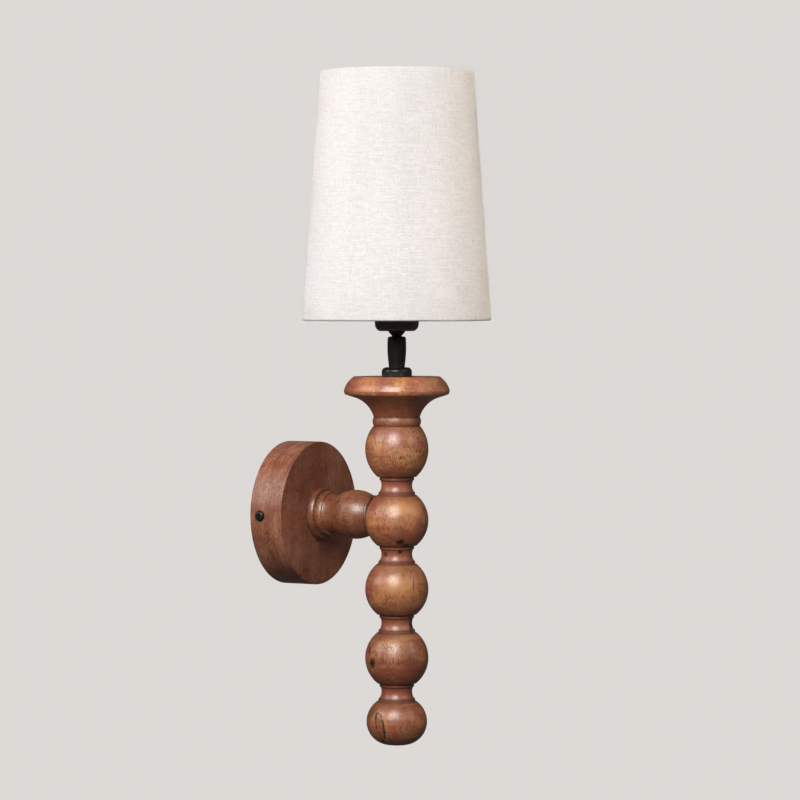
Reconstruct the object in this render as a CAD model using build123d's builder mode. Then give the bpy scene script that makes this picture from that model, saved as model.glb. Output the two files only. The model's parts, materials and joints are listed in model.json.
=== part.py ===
from build123d import *
from math import hypot, sqrt
import os

os.makedirs("parts", exist_ok=True)

# A wall lamp of turned wood, in millimetres with +Z up. The wall is the plane y = 0 and the lamp reaches
# out along -Y. The arm lies on the Y axis. The column, joint, holder and shade share one upright axis.

# General fits, all radial
thread_fit = 0.05
running_fit = 0.08
hole_clearance = 0.3
seat_gap = 0.05

# Back plate, a disc hollowed from behind
plate_diameter = 116.0
recess_depth = 19.0
recess_floor = 10.0
recess_rim = 12.0
plate_edge_round = 1.0

# Strap bracket on the wall
bracket_thickness = 2.0
bracket_clearance = 0.4
strap_width = 24.0
lug_width = 16.0
lug_height = 14.5
wall_screw_spacing = 60.0
wall_screw_hole = 5.0
cable_hole = 14.0
ear_margin = 1.5

# Side screws that hold the plate on the bracket
side_screw_diameter = 4.0
side_screw_length = 19.0
side_screw_head = 8.4
side_screw_head_height = 2.6
side_screw_round = 2.2
side_screw_cross = 3.6
side_screw_cross_width = 1.0
side_screw_height = 9.0
side_screw_seat_depth = 0.35

# Terminal block on the bracket's ear
pole_count = 3
pole_pitch = 9.0
terminal_length = 17.0
terminal_depth = 10.0
terminal_gap = 3.0
terminal_wall = 1.0
clamp_diameter = 4.4
clamp_bore = 3.0
clamp_inset = 2.0
terminal_screw_diameter = 2.6
terminal_screw_head = 3.4
terminal_screw_head_height = 1.4
terminal_screw_spacing = 7.0
screw_slot_width = 0.6
screw_slot_depth = 0.7
fixing_screw_diameter = 3.0
fixing_screw_head = 5.2
fixing_screw_head_height = 1.6

# Earth screw and ring lug on the strap
earth_x = 13.0
earth_z = -6.5
earth_screw_diameter = 4.0
earth_screw_head = 7.0
earth_screw_head_height = 2.4
lug_ring_diameter = 8.4
lug_sheet = 0.8
lug_tab_width = 3.0
lug_barrel_diameter = 3.4
lug_barrel_length = 5.0

# Flex and cores
flex_diameter = 4.4
flex_room = 0.4
flex_bend = 10.0
flex_proud = 2.4
core_diameter = 2.0
core_spread = 1.05
core_bend = 2.4
core_turn = 3.8

# Hollow threaded tubes and what clamps them
tube_diameter = 10.0
tube_bore = 7.6
tube_proud = 2.0
washer_diameter = 22.0
washer_thickness = 1.6
arm_nut_width = 14.0
arm_nut_height = 4.0
insert_diameter = 13.0
insert_length = 14.0
stem_depth = 30.0

# Arm, from the plate out to the column
arm_length = 52.6
arm_flange_diameter = 41.4
arm_flange_height = 5.8
arm_step_diameter = 36.0
arm_step_height = 5.8
arm_waist_diameter = 30.0
arm_waist_height = 9.0
arm_belly_diameter = 39.6
arm_belly_place = 35.2
arm_end_ring = 2.0
arm_end_neck_diameter = 29.6
arm_end_diameter = 31.8
arm_end_overhang = 1.0
ring_round = 0.8

# Column of turned beads
full_beads = 4
bead_diameter = 50.7
bead_height = 40.6
bead_edge_diameter = 31.4
neck_height = 14.6
fillet_diameter = 27.8
fillet_height = 2.6
cove_top_diameter = 26.6
cove_diameter = 24.6
cove_foot_diameter = 28.2
collar_diameter = 29.4
collar_height = 2.2
top_bead_edge_diameter = 37.6
top_bead_equator = 18.5
end_bead_diameter = 48.6
end_bead_height = 35.0
end_bead_equator = 16.4
end_bead_flat = 13.0
arm_lift = 3.5
chamber_depth = 6.0

# Cup on top of the column
cup_height = 39.6
cup_foot_diameter = 36.6
cup_ring_diameter = 38.8
cup_ring_height = 7.2
cup_throat_diameter = 37.0
cup_scoop = 3.0
cup_under_diameter = 71.0
cup_under_rise = 2.0
cup_lip_diameter = 84.8
cup_lip_height = 3.0
cup_lip_round = 1.0
cup_bevel_drop = 11.2
cup_bevel_bulge = 0.8
cup_table_diameter = 71.0
cup_table_round = 0.8

# Knurled ring nut under the joint
nut_diameter = 24.2
nut_top_diameter = 19.2
nut_height = 7.4
nut_band = 3.8
knurl_count = 40
knurl_depth = 0.5

# Ball joint
foot_wall = 1.3
foot_height = 6.6
foot_thread = 6.0
spigot_height = 5.0
spring_height = 1.0
spring_sheet = 0.5
ball_diameter = 11.4
seat_floor = 1.3
seat_wall_top = 2.0
barrel_wall = 1.75
barrel_lip = 5.0
barrel_foot_taper = 0.5
barrel_belly_height = 9.0
barrel_crown_taper = 0.25
barrel_shoulder = 1.1
mouth_cover = 0.8
mouth_land = 0.3
neck_wall = 1.4
neck_straight = 0.6
neck_rise = 4.4
stem_flange_diameter = 13.2
stem_flange_height = 0.8
flex_flare = 1.0
flex_split = 0.6

# Lampholder
cap_base_diameter = 28.0
cap_shoulder_diameter = 35.0
cap_shoulder_height = 5.0
cap_rim_diameter = 37.6
cap_height = 22.0
cap_wall = 1.8
cap_floor = 2.0
holder_nut_width = 14.0
holder_nut_height = 3.0
stem_above_nut = 1.5
body_engagement = 10.0
body_spigot_wall = 1.7
body_flange_diameter = 44.0
body_flange_height = 2.5
skirt_diameter = 39.8
skirt_wall = 2.6
skirt_height = 27.0
skirt_thread_pitch = 3.0
skirt_thread_depth = 0.7
ledge_drop = 0.5
ledge_height = 2.0
insert_disc_height = 7.5
insert_disc_clearance = 0.2
shell_clearance = 0.3
shell_wall = 0.4
shell_height = 20.0
shell_hole = 16.0
contact_width = 5.0
contact_sheet = 0.5
contact_rise = 2.6
contact_length = 6.0
holder_screw_spacing = 16.0
holder_screw_head = 5.0
holder_screw_head_height = 2.2
holder_screw_diameter = 3.0
holder_screw_length = 4.0
lead_straight = 3.0
lead_rise = 6.0

# Shade ring and shade
shade_ring_diameter = 53.0
shade_ring_height = 5.0
shade_ring_flange = 1.8
shade_ring_collar = 2.6
shade_ring_ribs = 30
shade_ring_rib_depth = 0.6
fitter_diameter = 60.0
fitter_thickness = 1.2
fitter_clearance = 0.35
fitter_recess = 16.1
shade_bottom_diameter = 151.0
shade_top_diameter = 122.4
shade_height = 199.0
cloth_thickness = 0.8
liner_thickness = 0.4
hem_height = 9.0
hem_fold_round = 1.2
wire_diameter = 3.0
wire_gap = 0.1
spoke_count = 3
first_spoke = 90.0
spoke_diameter = 2.6
spoke_inset = 1.5
notch_clearance = 0.4

# Bulb
bulb_cap_diameter = 26.0
bulb_cap_height = 21.6
bulb_cap_sheet = 0.4
bulb_thread_pitch = 3.6
bulb_thread_depth = 0.7
bulb_thread_turns = 4
bulb_tip_diameter = 9.0
bulb_tip_height = 1.0
bulb_cone_height = 3.0
bulb_cone_diameter = 21.0
bulb_housing_height = 37.0
bulb_housing_diameter = 56.0
bulb_housing_wall = 2.0
bulb_diameter = 60.0
bulb_belly_height = 12.0
bulb_dome_wall = 1.2
board_thickness = 1.6
board_gap = 0.3
diode_count = 10
diode_size = 3.5
diode_height = 0.8

# Radii and places that follow from the sizes above
plate_radius = plate_diameter / 2
plate_thickness = recess_depth + recess_floor
recess_radius = plate_radius - recess_rim
tube_radius = tube_diameter / 2
tube_hole = tube_radius + hole_clearance
thread_hole = tube_radius + thread_fit
bead_radius = bead_diameter / 2
arm_end_radius = arm_end_diameter / 2
arm_seat = sqrt(bead_radius**2 - (arm_end_radius - arm_end_overhang) ** 2)
arm_end = plate_thickness + arm_length
reach = arm_end + arm_seat
bead_pitch = bead_height + neck_height
column_top = bead_pitch + bead_height / 2 - arm_lift
cup_top = column_top + cup_height
nut_top = cup_top + nut_height
foot_top = nut_top + foot_height
ball_radius = ball_diameter / 2
seat_bottom = foot_top + spigot_height + spring_height
ball_z = seat_bottom + seat_floor + ball_radius
barrel_top = ball_z + barrel_lip
cap_base = barrel_top + neck_rise
cap_top = cap_base + cap_height
flange_top = cap_top + body_flange_height
fitter_bottom = flange_top + seat_gap
shade_bottom = fitter_bottom - fitter_recess
flex_radius = flex_diameter / 2
flex_bore = flex_radius + flex_room
neck_radius = flex_bore + neck_wall
lug_face = sqrt((recess_radius - bracket_clearance) ** 2 - (max(lug_width, strap_width) / 2) ** 2)

# Planes and axes: wall_lathe takes a radius and a distance from the wall, column_lathe a radius and a height
wall_lathe = Plane(origin=(0, 0, 0), x_dir=(1, 0, 0), z_dir=(0, 0, -1))
column_lathe = Plane.XZ.offset(reach)
column_axis = Axis((0, -reach, 0), (0, 0, 1))


def level(height):
    """Level plane on the column's axis, facing up."""
    return Plane(origin=(0, -reach, height))


def depth(distance):
    """Upright plane parallel to the wall, facing away from it."""
    return Plane.XZ.offset(distance)


def write_piece(piece, name):
    """Labels a finished piece and writes it to its own file."""
    piece.part.label = name
    export_step(piece.part, f"parts/{name}.step")


# Wall bracket: a strap with two bent lugs for the side screws and an ear for the terminal block
terminal_width = pole_count * pole_pitch + 2 * terminal_wall
terminal_bottom = strap_width / 2 + terminal_gap
ear_top = terminal_bottom + terminal_length + ear_margin
fixing_x = pole_pitch / 2
fixing_z = terminal_bottom + terminal_length / 2

with BuildPart() as wall_bracket:
    with BuildSketch(depth(0)):
        Rectangle(2 * lug_face, strap_width)
        with Locations((0, ear_top / 2)):
            Rectangle(terminal_width + 2 * ear_margin, ear_top)
        with GridLocations(wall_screw_spacing, 0, 2, 1):
            Circle(wall_screw_hole / 2, mode=Mode.SUBTRACT)
        Circle(cable_hole / 2, mode=Mode.SUBTRACT)
        with Locations((earth_x, earth_z)):
            Circle(earth_screw_diameter / 2 + thread_fit, mode=Mode.SUBTRACT)
        with Locations((fixing_x, fixing_z)):
            Circle(fixing_screw_diameter / 2 + thread_fit, mode=Mode.SUBTRACT)
    extrude(amount=bracket_thickness)
    with BuildSketch(depth(0)):
        with GridLocations(2 * lug_face - bracket_thickness, 0, 2, 1):
            Rectangle(bracket_thickness, lug_width)
    extrude(amount=lug_height)
    with BuildSketch(Plane.YZ):
        with Locations((-side_screw_height, 0)):
            Circle(side_screw_diameter / 2 + thread_fit)
    extrude(amount=lug_face, both=True, mode=Mode.SUBTRACT)
write_piece(wall_bracket, "wall_bracket")

# Earth lug: a ring under the earth screw, with a crimped barrel for the earth lead
lug_seat = bracket_thickness + lug_sheet
barrel_y = -(bracket_thickness + lug_barrel_diameter / 2)
lug_barrel_z = earth_z + lug_ring_diameter / 2 + lug_barrel_length / 2

with BuildPart() as earth_lug:
    with BuildSketch(depth(bracket_thickness)):
        with Locations((earth_x, earth_z)):
            Circle(lug_ring_diameter / 2)
        with Locations((earth_x, (earth_z + lug_barrel_z) / 2)):
            Rectangle(lug_tab_width, lug_barrel_z - earth_z)
        with Locations((earth_x, earth_z)):
            Circle(earth_screw_diameter / 2 + hole_clearance, mode=Mode.SUBTRACT)
    extrude(amount=lug_sheet)
    with BuildSketch(Plane(origin=(earth_x, barrel_y, lug_barrel_z))):
        Circle(lug_barrel_diameter / 2)
    extrude(amount=lug_barrel_length / 2, both=True)
    with BuildSketch(Plane(origin=(earth_x, barrel_y, lug_barrel_z))):
        Circle(core_diameter / 2 + thread_fit)
    extrude(amount=lug_barrel_length / 2, both=True, mode=Mode.SUBTRACT)
write_piece(earth_lug, "earth_lug")

with BuildPart() as earth_screw:
    with BuildSketch(depth(0)):
        with Locations((earth_x, earth_z)):
            Circle(earth_screw_diameter / 2)
    extrude(amount=lug_seat)
    with BuildSketch(depth(lug_seat)):
        with Locations((earth_x, earth_z)):
            Circle(earth_screw_head / 2)
    extrude(amount=earth_screw_head_height)
    with BuildSketch(depth(lug_seat + earth_screw_head_height)):
        with Locations((earth_x, earth_z)):
            Rectangle(earth_screw_head, screw_slot_width)
    extrude(amount=-screw_slot_depth, mode=Mode.SUBTRACT)
write_piece(earth_screw, "earth_screw")

# Terminal block: a moulded body, brass clamps along its poles, two screws to a clamp and one fixing screw
terminal_back = bracket_thickness
terminal_face = terminal_back + terminal_depth
clamp_axis = terminal_back + terminal_depth / 2
clamp_length = terminal_length - 2 * clamp_inset
screw_tip = clamp_axis + core_diameter / 2 + thread_fit
screw_head_bottom = clamp_axis + clamp_diameter / 2 + thread_fit
screw_head_top = screw_head_bottom + terminal_screw_head_height

with BuildPart() as terminal_body:
    with BuildSketch(depth(terminal_back)):
        with Locations((0, fixing_z)):
            Rectangle(terminal_width, terminal_length)
        with Locations((fixing_x, fixing_z)):
            Circle(fixing_screw_diameter / 2 + hole_clearance, mode=Mode.SUBTRACT)
    extrude(amount=terminal_depth)
    with BuildSketch(Plane(origin=(0, -clamp_axis, terminal_bottom))):
        with GridLocations(pole_pitch, 0, pole_count, 1):
            Circle(clamp_diameter / 2 + thread_fit)
    extrude(amount=terminal_length, mode=Mode.SUBTRACT)
    with BuildSketch(depth(terminal_face)):
        with Locations((0, fixing_z)):
            with GridLocations(pole_pitch, terminal_screw_spacing, pole_count, 2):
                Circle(terminal_screw_head / 2 + hole_clearance)
    extrude(amount=clamp_axis - terminal_face, mode=Mode.SUBTRACT)
write_piece(terminal_body, "terminal_body")

with BuildPart() as terminal_clamps:
    with BuildSketch(Plane(origin=(0, -clamp_axis, terminal_bottom + clamp_inset))):
        with GridLocations(pole_pitch, 0, pole_count, 1):
            Circle(clamp_diameter / 2)
            Circle(clamp_bore / 2, mode=Mode.SUBTRACT)
    extrude(amount=clamp_length)
    with BuildSketch(depth(terminal_face)):
        with Locations((0, fixing_z)):
            with GridLocations(pole_pitch, terminal_screw_spacing, pole_count, 2):
                Circle(terminal_screw_diameter / 2 + thread_fit)
    extrude(amount=clamp_axis - terminal_face, mode=Mode.SUBTRACT)
write_piece(terminal_clamps, "terminal_clamps")

with BuildPart() as terminal_screws:
    with BuildSketch(depth(screw_tip)):
        with Locations((0, fixing_z)):
            with GridLocations(pole_pitch, terminal_screw_spacing, pole_count, 2):
                Circle(terminal_screw_diameter / 2)
    extrude(amount=screw_head_bottom - screw_tip)
    with BuildSketch(depth(screw_head_bottom)):
        with Locations((0, fixing_z)):
            with GridLocations(pole_pitch, terminal_screw_spacing, pole_count, 2):
                Circle(terminal_screw_head / 2)
    extrude(amount=terminal_screw_head_height)
    with BuildSketch(depth(screw_head_top)):
        with Locations((0, fixing_z)):
            with GridLocations(pole_pitch, terminal_screw_spacing, pole_count, 2):
                Rectangle(terminal_screw_head, screw_slot_width)
    extrude(amount=-screw_slot_depth, mode=Mode.SUBTRACT)
write_piece(terminal_screws, "terminal_screws")

with BuildPart() as fixing_screw:
    with BuildSketch(depth(0)):
        with Locations((fixing_x, fixing_z)):
            Circle(fixing_screw_diameter / 2)
    extrude(amount=terminal_face)
    with BuildSketch(depth(terminal_face)):
        with Locations((fixing_x, fixing_z)):
            Circle(fixing_screw_head / 2)
    extrude(amount=fixing_screw_head_height)
    with BuildSketch(depth(terminal_face + fixing_screw_head_height)):
        with Locations((fixing_x, fixing_z)):
            Rectangle(fixing_screw_head, screw_slot_width)
    extrude(amount=-screw_slot_depth, mode=Mode.SUBTRACT)
write_piece(fixing_screw, "fixing_screw")

# Back plate: a wooden disc with a wiring recess, a hole for the arm's tube and seats for the side screws
side_seat = sqrt(plate_radius**2 - (side_screw_head / 2) ** 2) - side_screw_seat_depth

with BuildPart() as backplate:
    with BuildSketch(wall_lathe):
        with BuildLine():
            Polyline(
                (recess_radius, 0),
                (plate_radius, 0),
                (plate_radius, plate_thickness),
                (tube_hole, plate_thickness),
                (tube_hole, recess_depth),
                (recess_radius, recess_depth),
                close=True,
            )
        make_face()
    revolve(axis=Axis.Y)
    front_circles = backplate.edges().filter_by(GeomType.CIRCLE).group_by(Axis.Y)[0]
    fillet(front_circles.sort_by(SortBy.RADIUS)[-1], plate_edge_round)
    with BuildSketch(Plane.YZ):
        with Locations((-side_screw_height, 0)):
            Circle(side_screw_diameter / 2 + hole_clearance)
    extrude(amount=plate_radius, both=True, mode=Mode.SUBTRACT)
    for side in (-1, 1):
        with BuildSketch(Plane(origin=(side * side_seat, -side_screw_height, 0), z_dir=(side, 0, 0))):
            Circle(side_screw_head / 2 + hole_clearance)
        extrude(amount=plate_radius - side_seat, mode=Mode.SUBTRACT)
write_piece(backplate, "backplate")

# Side screws: rounded heads with a cross recess, one each side of the plate
with BuildPart() as side_screws:
    for side in (-1, 1):
        seat = Plane(origin=(side * side_seat, -side_screw_height, 0), x_dir=(0, 1, 0), z_dir=(side, 0, 0))
        with BuildSketch(seat):
            Circle(side_screw_head / 2)
        extrude(amount=side_screw_head_height)
        outward = Axis(seat.origin, seat.z_dir)
        head_rim = side_screws.edges().filter_by(GeomType.CIRCLE).sort_by(outward)[-1]
        fillet(head_rim, side_screw_round)
        with BuildSketch(seat):
            Circle(side_screw_diameter / 2)
        extrude(amount=-side_screw_length)
        with BuildSketch(seat.offset(side_screw_head_height)):
            Rectangle(side_screw_cross, side_screw_cross_width)
            Rectangle(side_screw_cross_width, side_screw_cross)
        extrude(amount=-side_screw_head_height / 2, mode=Mode.SUBTRACT)
write_piece(side_screws, "side_screws")

# Arm: a turned piece with a stepped foot on the plate, a waist, a belly and a small ring at the column
flange_end = plate_thickness + arm_flange_height
step_end = flange_end + arm_step_height
waist_end = step_end + arm_waist_height
belly_at = plate_thickness + arm_belly_place
ring_start = arm_end - arm_end_ring
flange_radius = arm_flange_diameter / 2
step_radius = arm_step_diameter / 2
waist_radius = arm_waist_diameter / 2
end_neck_radius = arm_end_neck_diameter / 2

with BuildPart() as arm:
    with BuildSketch(wall_lathe):
        with BuildLine():
            Polyline(
                (tube_hole, arm_end),
                (tube_hole, plate_thickness),
                (flange_radius - ring_round, plate_thickness),
            )
            ThreePointArc(
                (flange_radius - ring_round, plate_thickness),
                (flange_radius, (plate_thickness + flange_end) / 2),
                (flange_radius - ring_round, flange_end),
            )
            Line((flange_radius - ring_round, flange_end), (step_radius - ring_round / 2, flange_end))
            ThreePointArc(
                (step_radius - ring_round / 2, flange_end),
                (step_radius, (flange_end + step_end) / 2),
                (step_radius - ring_round, step_end),
            )
            Line((step_radius - ring_round, step_end), (waist_radius + ring_round, step_end))
            ThreePointArc(
                (waist_radius + ring_round, step_end),
                (waist_radius, (step_end + waist_end) / 2),
                (waist_radius + ring_round, waist_end),
            )
            ThreePointArc(
                (waist_radius + ring_round, waist_end),
                (arm_belly_diameter / 2, belly_at),
                (end_neck_radius, ring_start),
            )
            ThreePointArc(
                (end_neck_radius, ring_start),
                (arm_end_radius, (ring_start + arm_end) / 2),
                (arm_end_radius - ring_round / 2, arm_end),
            )
            Line((arm_end_radius - ring_round / 2, arm_end), (tube_hole, arm_end))
        make_face()
    revolve(axis=Axis.Y)
write_piece(arm, "arm")

# Tube through the arm, held by a washer and a nut in the recess and by a brass insert in the column
washer_face = recess_depth - washer_thickness
nut_face = washer_face - arm_nut_height
tube_start = nut_face - tube_proud
insert_end = arm_end + insert_length

with BuildPart() as arm_tube:
    with BuildSketch(depth(tube_start)):
        Circle(tube_radius)
        Circle(tube_bore / 2, mode=Mode.SUBTRACT)
    extrude(amount=insert_end - tube_start)
write_piece(arm_tube, "arm_tube")

with BuildPart() as arm_washer:
    with BuildSketch(depth(washer_face)):
        Circle(washer_diameter / 2)
        Circle(tube_hole, mode=Mode.SUBTRACT)
    extrude(amount=washer_thickness)
write_piece(arm_washer, "arm_washer")

with BuildPart() as arm_nut:
    with BuildSketch(depth(nut_face)):
        RegularPolygon(arm_nut_width / 2, 6, major_radius=False)
        Circle(thread_hole, mode=Mode.SUBTRACT)
    extrude(amount=arm_nut_height)
write_piece(arm_nut, "arm_nut")

with BuildPart() as arm_insert:
    with BuildSketch(depth(arm_end)):
        Circle(insert_diameter / 2)
        Circle(thread_hole, mode=Mode.SUBTRACT)
    extrude(amount=insert_length)
write_piece(arm_insert, "arm_insert")

# Column: full beads and coved necks turned in one piece, with a smaller bead at the foot
bead_edge = bead_edge_diameter / 2
end_bead_radius = end_bead_diameter / 2
fillet_radius = fillet_diameter / 2
collar_radius = collar_diameter / 2
cove_top_radius = cove_top_diameter / 2
cove_radius = cove_diameter / 2
cove_foot_radius = cove_foot_diameter / 2
end_bead_top = column_top - full_beads * bead_pitch
column_bottom = end_bead_top - end_bead_height

with BuildPart() as column:
    with BuildSketch(column_lathe):
        with BuildLine():
            Polyline((0, column_bottom), (0, column_top), (top_bead_edge_diameter / 2, column_top))
            for bead in range(full_beads):
                top = column_top - bead * bead_pitch
                bottom = top - bead_height
                upper_edge = top_bead_edge_diameter / 2 if bead == 0 else bead_edge
                equator = top - (top_bead_equator if bead == 0 else bead_height / 2)
                cove_top = bottom - fillet_height
                collar_top = bottom - neck_height + collar_height
                TangentArc((bead_radius, equator), (upper_edge, top), tangent=(0, 1))
                TangentArc((bead_radius, equator), (bead_edge, bottom), tangent=(0, -1))
                Polyline(
                    (bead_edge, bottom),
                    (fillet_radius, bottom),
                    (fillet_radius, cove_top),
                    (cove_top_radius, cove_top),
                )
                ThreePointArc(
                    (cove_top_radius, cove_top),
                    (cove_radius, (cove_top + collar_top) / 2),
                    (cove_foot_radius, collar_top),
                )
                Polyline(
                    (cove_foot_radius, collar_top),
                    (collar_radius, collar_top),
                    (collar_radius, collar_top - collar_height),
                    (bead_edge, collar_top - collar_height),
                )
            end_equator = end_bead_top - end_bead_equator
            TangentArc((end_bead_radius, end_equator), (bead_edge, end_bead_top), tangent=(0, 1))
            TangentArc((end_bead_radius, end_equator), (end_bead_flat / 2, column_bottom), tangent=(0, -1))
            Line((end_bead_flat / 2, column_bottom), (0, column_bottom))
        make_face()
    revolve(axis=column_axis)
    with BuildSketch(depth(arm_end)):
        Circle(arm_end_radius + hole_clearance)
    extrude(amount=-bead_radius, mode=Mode.SUBTRACT)
    with BuildSketch(depth(arm_end)):
        Circle(insert_diameter / 2 + thread_fit)
    extrude(amount=insert_length, mode=Mode.SUBTRACT)
    with BuildSketch(depth(arm_end)):
        Circle(tube_hole)
    extrude(amount=arm_seat + chamber_depth, mode=Mode.SUBTRACT)
    with BuildSketch(level(column_top)):
        Circle(thread_hole)
    extrude(amount=-(column_top + chamber_depth), mode=Mode.SUBTRACT)
write_piece(column, "column")

# Cup: a turned flare with a ring at its foot and a bevelled lip round a flat table
cup_ring_top = column_top + cup_ring_height
lip_middle = cup_top - cup_bevel_drop
lip_bottom = lip_middle - cup_lip_height
under_edge = cup_lip_diameter / 2 - cup_lip_round
throat = (cup_throat_diameter / 2, cup_ring_top)
under = (cup_under_diameter / 2, lip_bottom - cup_under_rise)
scoop_middle = ((throat[0] + under[0]) / 2 - cup_scoop, (throat[1] + under[1]) / 2 + cup_scoop / 2)
table_edge = (cup_table_diameter / 2, cup_top - cup_table_round)
lip_top = (cup_lip_diameter / 2, lip_middle)
bevel_middle = (
    (table_edge[0] + lip_top[0]) / 2 + cup_bevel_bulge,
    (table_edge[1] + lip_top[1]) / 2 + cup_bevel_bulge,
)

with BuildPart() as cup:
    with BuildSketch(column_lathe):
        with BuildLine():
            Polyline((tube_hole, cup_top), (tube_hole, column_top), (cup_foot_diameter / 2, column_top))
            ThreePointArc(
                (cup_foot_diameter / 2, column_top),
                (cup_ring_diameter / 2, (column_top + cup_ring_top) / 2),
                throat,
            )
            ThreePointArc(throat, scoop_middle, under)
            Line(under, (under_edge, lip_bottom))
            TangentArc(lip_top, (under_edge, lip_bottom), tangent=(0, -1))
            ThreePointArc(lip_top, bevel_middle, table_edge)
            Line(table_edge, (table_edge[0] - cup_table_round, cup_top))
            Line((table_edge[0] - cup_table_round, cup_top), (tube_hole, cup_top))
        make_face()
    revolve(axis=column_axis)
write_piece(cup, "cup")

# Upright tube from the first bead through the cup into the joint's foot
with BuildPart() as stem_tube:
    with BuildSketch(level(column_top - stem_depth)):
        Circle(tube_radius)
        Circle(tube_bore / 2, mode=Mode.SUBTRACT)
    extrude(amount=nut_top + foot_thread - column_top + stem_depth)
write_piece(stem_tube, "stem_tube")

# Ring nut: a knurled band below a rounded shoulder
nut_radius = nut_diameter / 2
nut_edge = (nut_radius, cup_top + nut_band)
nut_shoulder_end = (nut_top_diameter / 2, nut_top)

with BuildPart() as ring_nut:
    with BuildSketch(column_lathe):
        with BuildLine():
            Polyline(
                nut_shoulder_end,
                (thread_hole, nut_top),
                (thread_hole, cup_top),
                (nut_radius, cup_top),
                nut_edge,
            )
            TangentArc(nut_edge, nut_shoulder_end, tangent=(0, 1))
        make_face()
    revolve(axis=column_axis)
    with BuildSketch(level(cup_top)):
        with PolarLocations(nut_radius, knurl_count):
            Rectangle(knurl_depth * sqrt(2), knurl_depth * sqrt(2), rotation=45)
    extrude(amount=nut_height, mode=Mode.SUBTRACT)
write_piece(ring_nut, "ring_nut")

# Joint foot: threaded on the upright tube, with a spigot that carries the barrel
foot_radius = tube_radius + foot_wall
socket_radius = ball_radius + running_fit
barrel_radius = socket_radius + barrel_wall
barrel_foot = barrel_radius - barrel_foot_taper
spigot_top = foot_top + spigot_height
spigot_bore = flex_bore + flex_flare

with BuildPart() as joint_foot:
    with BuildSketch(column_lathe):
        with BuildLine():
            Polyline(
                (thread_hole, nut_top),
                (foot_radius, nut_top),
                (barrel_foot, foot_top),
                (socket_radius - thread_fit, foot_top),
                (socket_radius - thread_fit, spigot_top),
                (spigot_bore, spigot_top),
                (spigot_bore, nut_top + foot_thread),
                (thread_hole, nut_top + foot_thread),
                close=True,
            )
        make_face()
    revolve(axis=column_axis)
write_piece(joint_foot, "joint_foot")

# Dished spring that presses the seat against the ball
spring_inner = spigot_bore + hole_clearance
spring_outer = socket_radius - hole_clearance

with BuildPart() as spring_washer:
    with BuildSketch(column_lathe):
        with BuildLine():
            Polyline(
                (spring_outer, spigot_top),
                (spring_outer, spigot_top + spring_sheet),
                (spring_inner, seat_bottom),
                (spring_inner, seat_bottom - spring_sheet),
                close=True,
            )
        make_face()
    revolve(axis=column_axis)
write_piece(spring_washer, "spring_washer")

# Ball seat: a ring with a spherical hollow under the ball
seat_outer = socket_radius - running_fit
hollow_radius = ball_radius + seat_gap
hollow_low = (spigot_bore, ball_z - sqrt(hollow_radius**2 - spigot_bore**2))
hollow_high = (sqrt(hollow_radius**2 - seat_wall_top**2), ball_z - seat_wall_top)
hollow_mid_r = (hollow_low[0] + hollow_high[0]) / 2
hollow_mid = (hollow_mid_r, ball_z - sqrt(hollow_radius**2 - hollow_mid_r**2))

with BuildPart() as ball_seat:
    with BuildSketch(column_lathe):
        with BuildLine():
            ThreePointArc(hollow_low, hollow_mid, hollow_high)
            Polyline(
                hollow_high,
                (seat_outer, hollow_high[1]),
                (seat_outer, seat_bottom),
                (spigot_bore, seat_bottom),
                hollow_low,
            )
        make_face()
    revolve(axis=column_axis)
write_piece(ball_seat, "ball_seat")

# Joint barrel: a sleeve on the foot, closed over the ball by a spherical mouth
mouth_radius = ball_radius - mouth_cover
mouth_z = ball_z + sqrt(socket_radius**2 - mouth_radius**2)
socket_side = (socket_radius, ball_z)
mouth_low = (mouth_radius, mouth_z)
barrel_belly = (barrel_radius, foot_top + barrel_belly_height)
barrel_crown = (barrel_radius - barrel_crown_taper, barrel_top - barrel_shoulder)
shoulder_edge = barrel_crown[0] - barrel_shoulder

with BuildPart() as joint_barrel:
    with BuildSketch(column_lathe):
        with BuildLine():
            TangentArc(socket_side, mouth_low, tangent=(0, 1))
            Polyline(
                mouth_low,
                (shoulder_edge - mouth_land, barrel_top),
                (shoulder_edge, barrel_top),
                barrel_crown,
            )
            TangentArc(barrel_belly, barrel_crown, tangent=(0, 1))
            TangentArc(barrel_belly, (barrel_foot, foot_top), tangent=(0, -1))
            Polyline((barrel_foot, foot_top), (socket_radius, foot_top), socket_side)
        make_face()
    revolve(axis=column_axis)
write_piece(joint_barrel, "joint_barrel")

# Ball stem: the ball, a flared neck, a collar under the holder and a threaded end inside it
flare_radius = flex_bore + flex_flare
ball_low = (flare_radius, ball_z - sqrt(ball_radius**2 - flare_radius**2))
ball_high = (neck_radius, ball_z + sqrt(ball_radius**2 - neck_radius**2))
stem_flange_radius = stem_flange_diameter / 2
holder_floor = cap_base + cap_floor
stem_end = holder_floor + holder_nut_height + stem_above_nut

with BuildPart() as ball_stem:
    with BuildSketch(column_lathe):
        with BuildLine():
            ThreePointArc(ball_low, (ball_radius, ball_z), ball_high)
            Polyline(
                ball_high,
                (neck_radius, barrel_top + neck_straight),
                (stem_flange_radius, cap_base - stem_flange_height),
                (stem_flange_radius, cap_base),
                (tube_radius, cap_base),
                (tube_radius, stem_end),
                (flex_bore, stem_end),
                (flex_bore, ball_z),
                ball_low,
            )
        make_face()
    revolve(axis=column_axis)
write_piece(ball_stem, "ball_stem")

# Holder cap: a domed cup clamped on the stem by a thin nut
cap_base_radius = cap_base_diameter / 2
cap_shoulder = (cap_shoulder_diameter / 2, cap_base + cap_shoulder_height)
cap_rim = (cap_rim_diameter / 2, cap_top)
cap_bore = cap_rim[0] - cap_wall
cap_side = (cap_shoulder[0] - cap_rim[0], cap_shoulder[1] - cap_rim[1])

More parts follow.
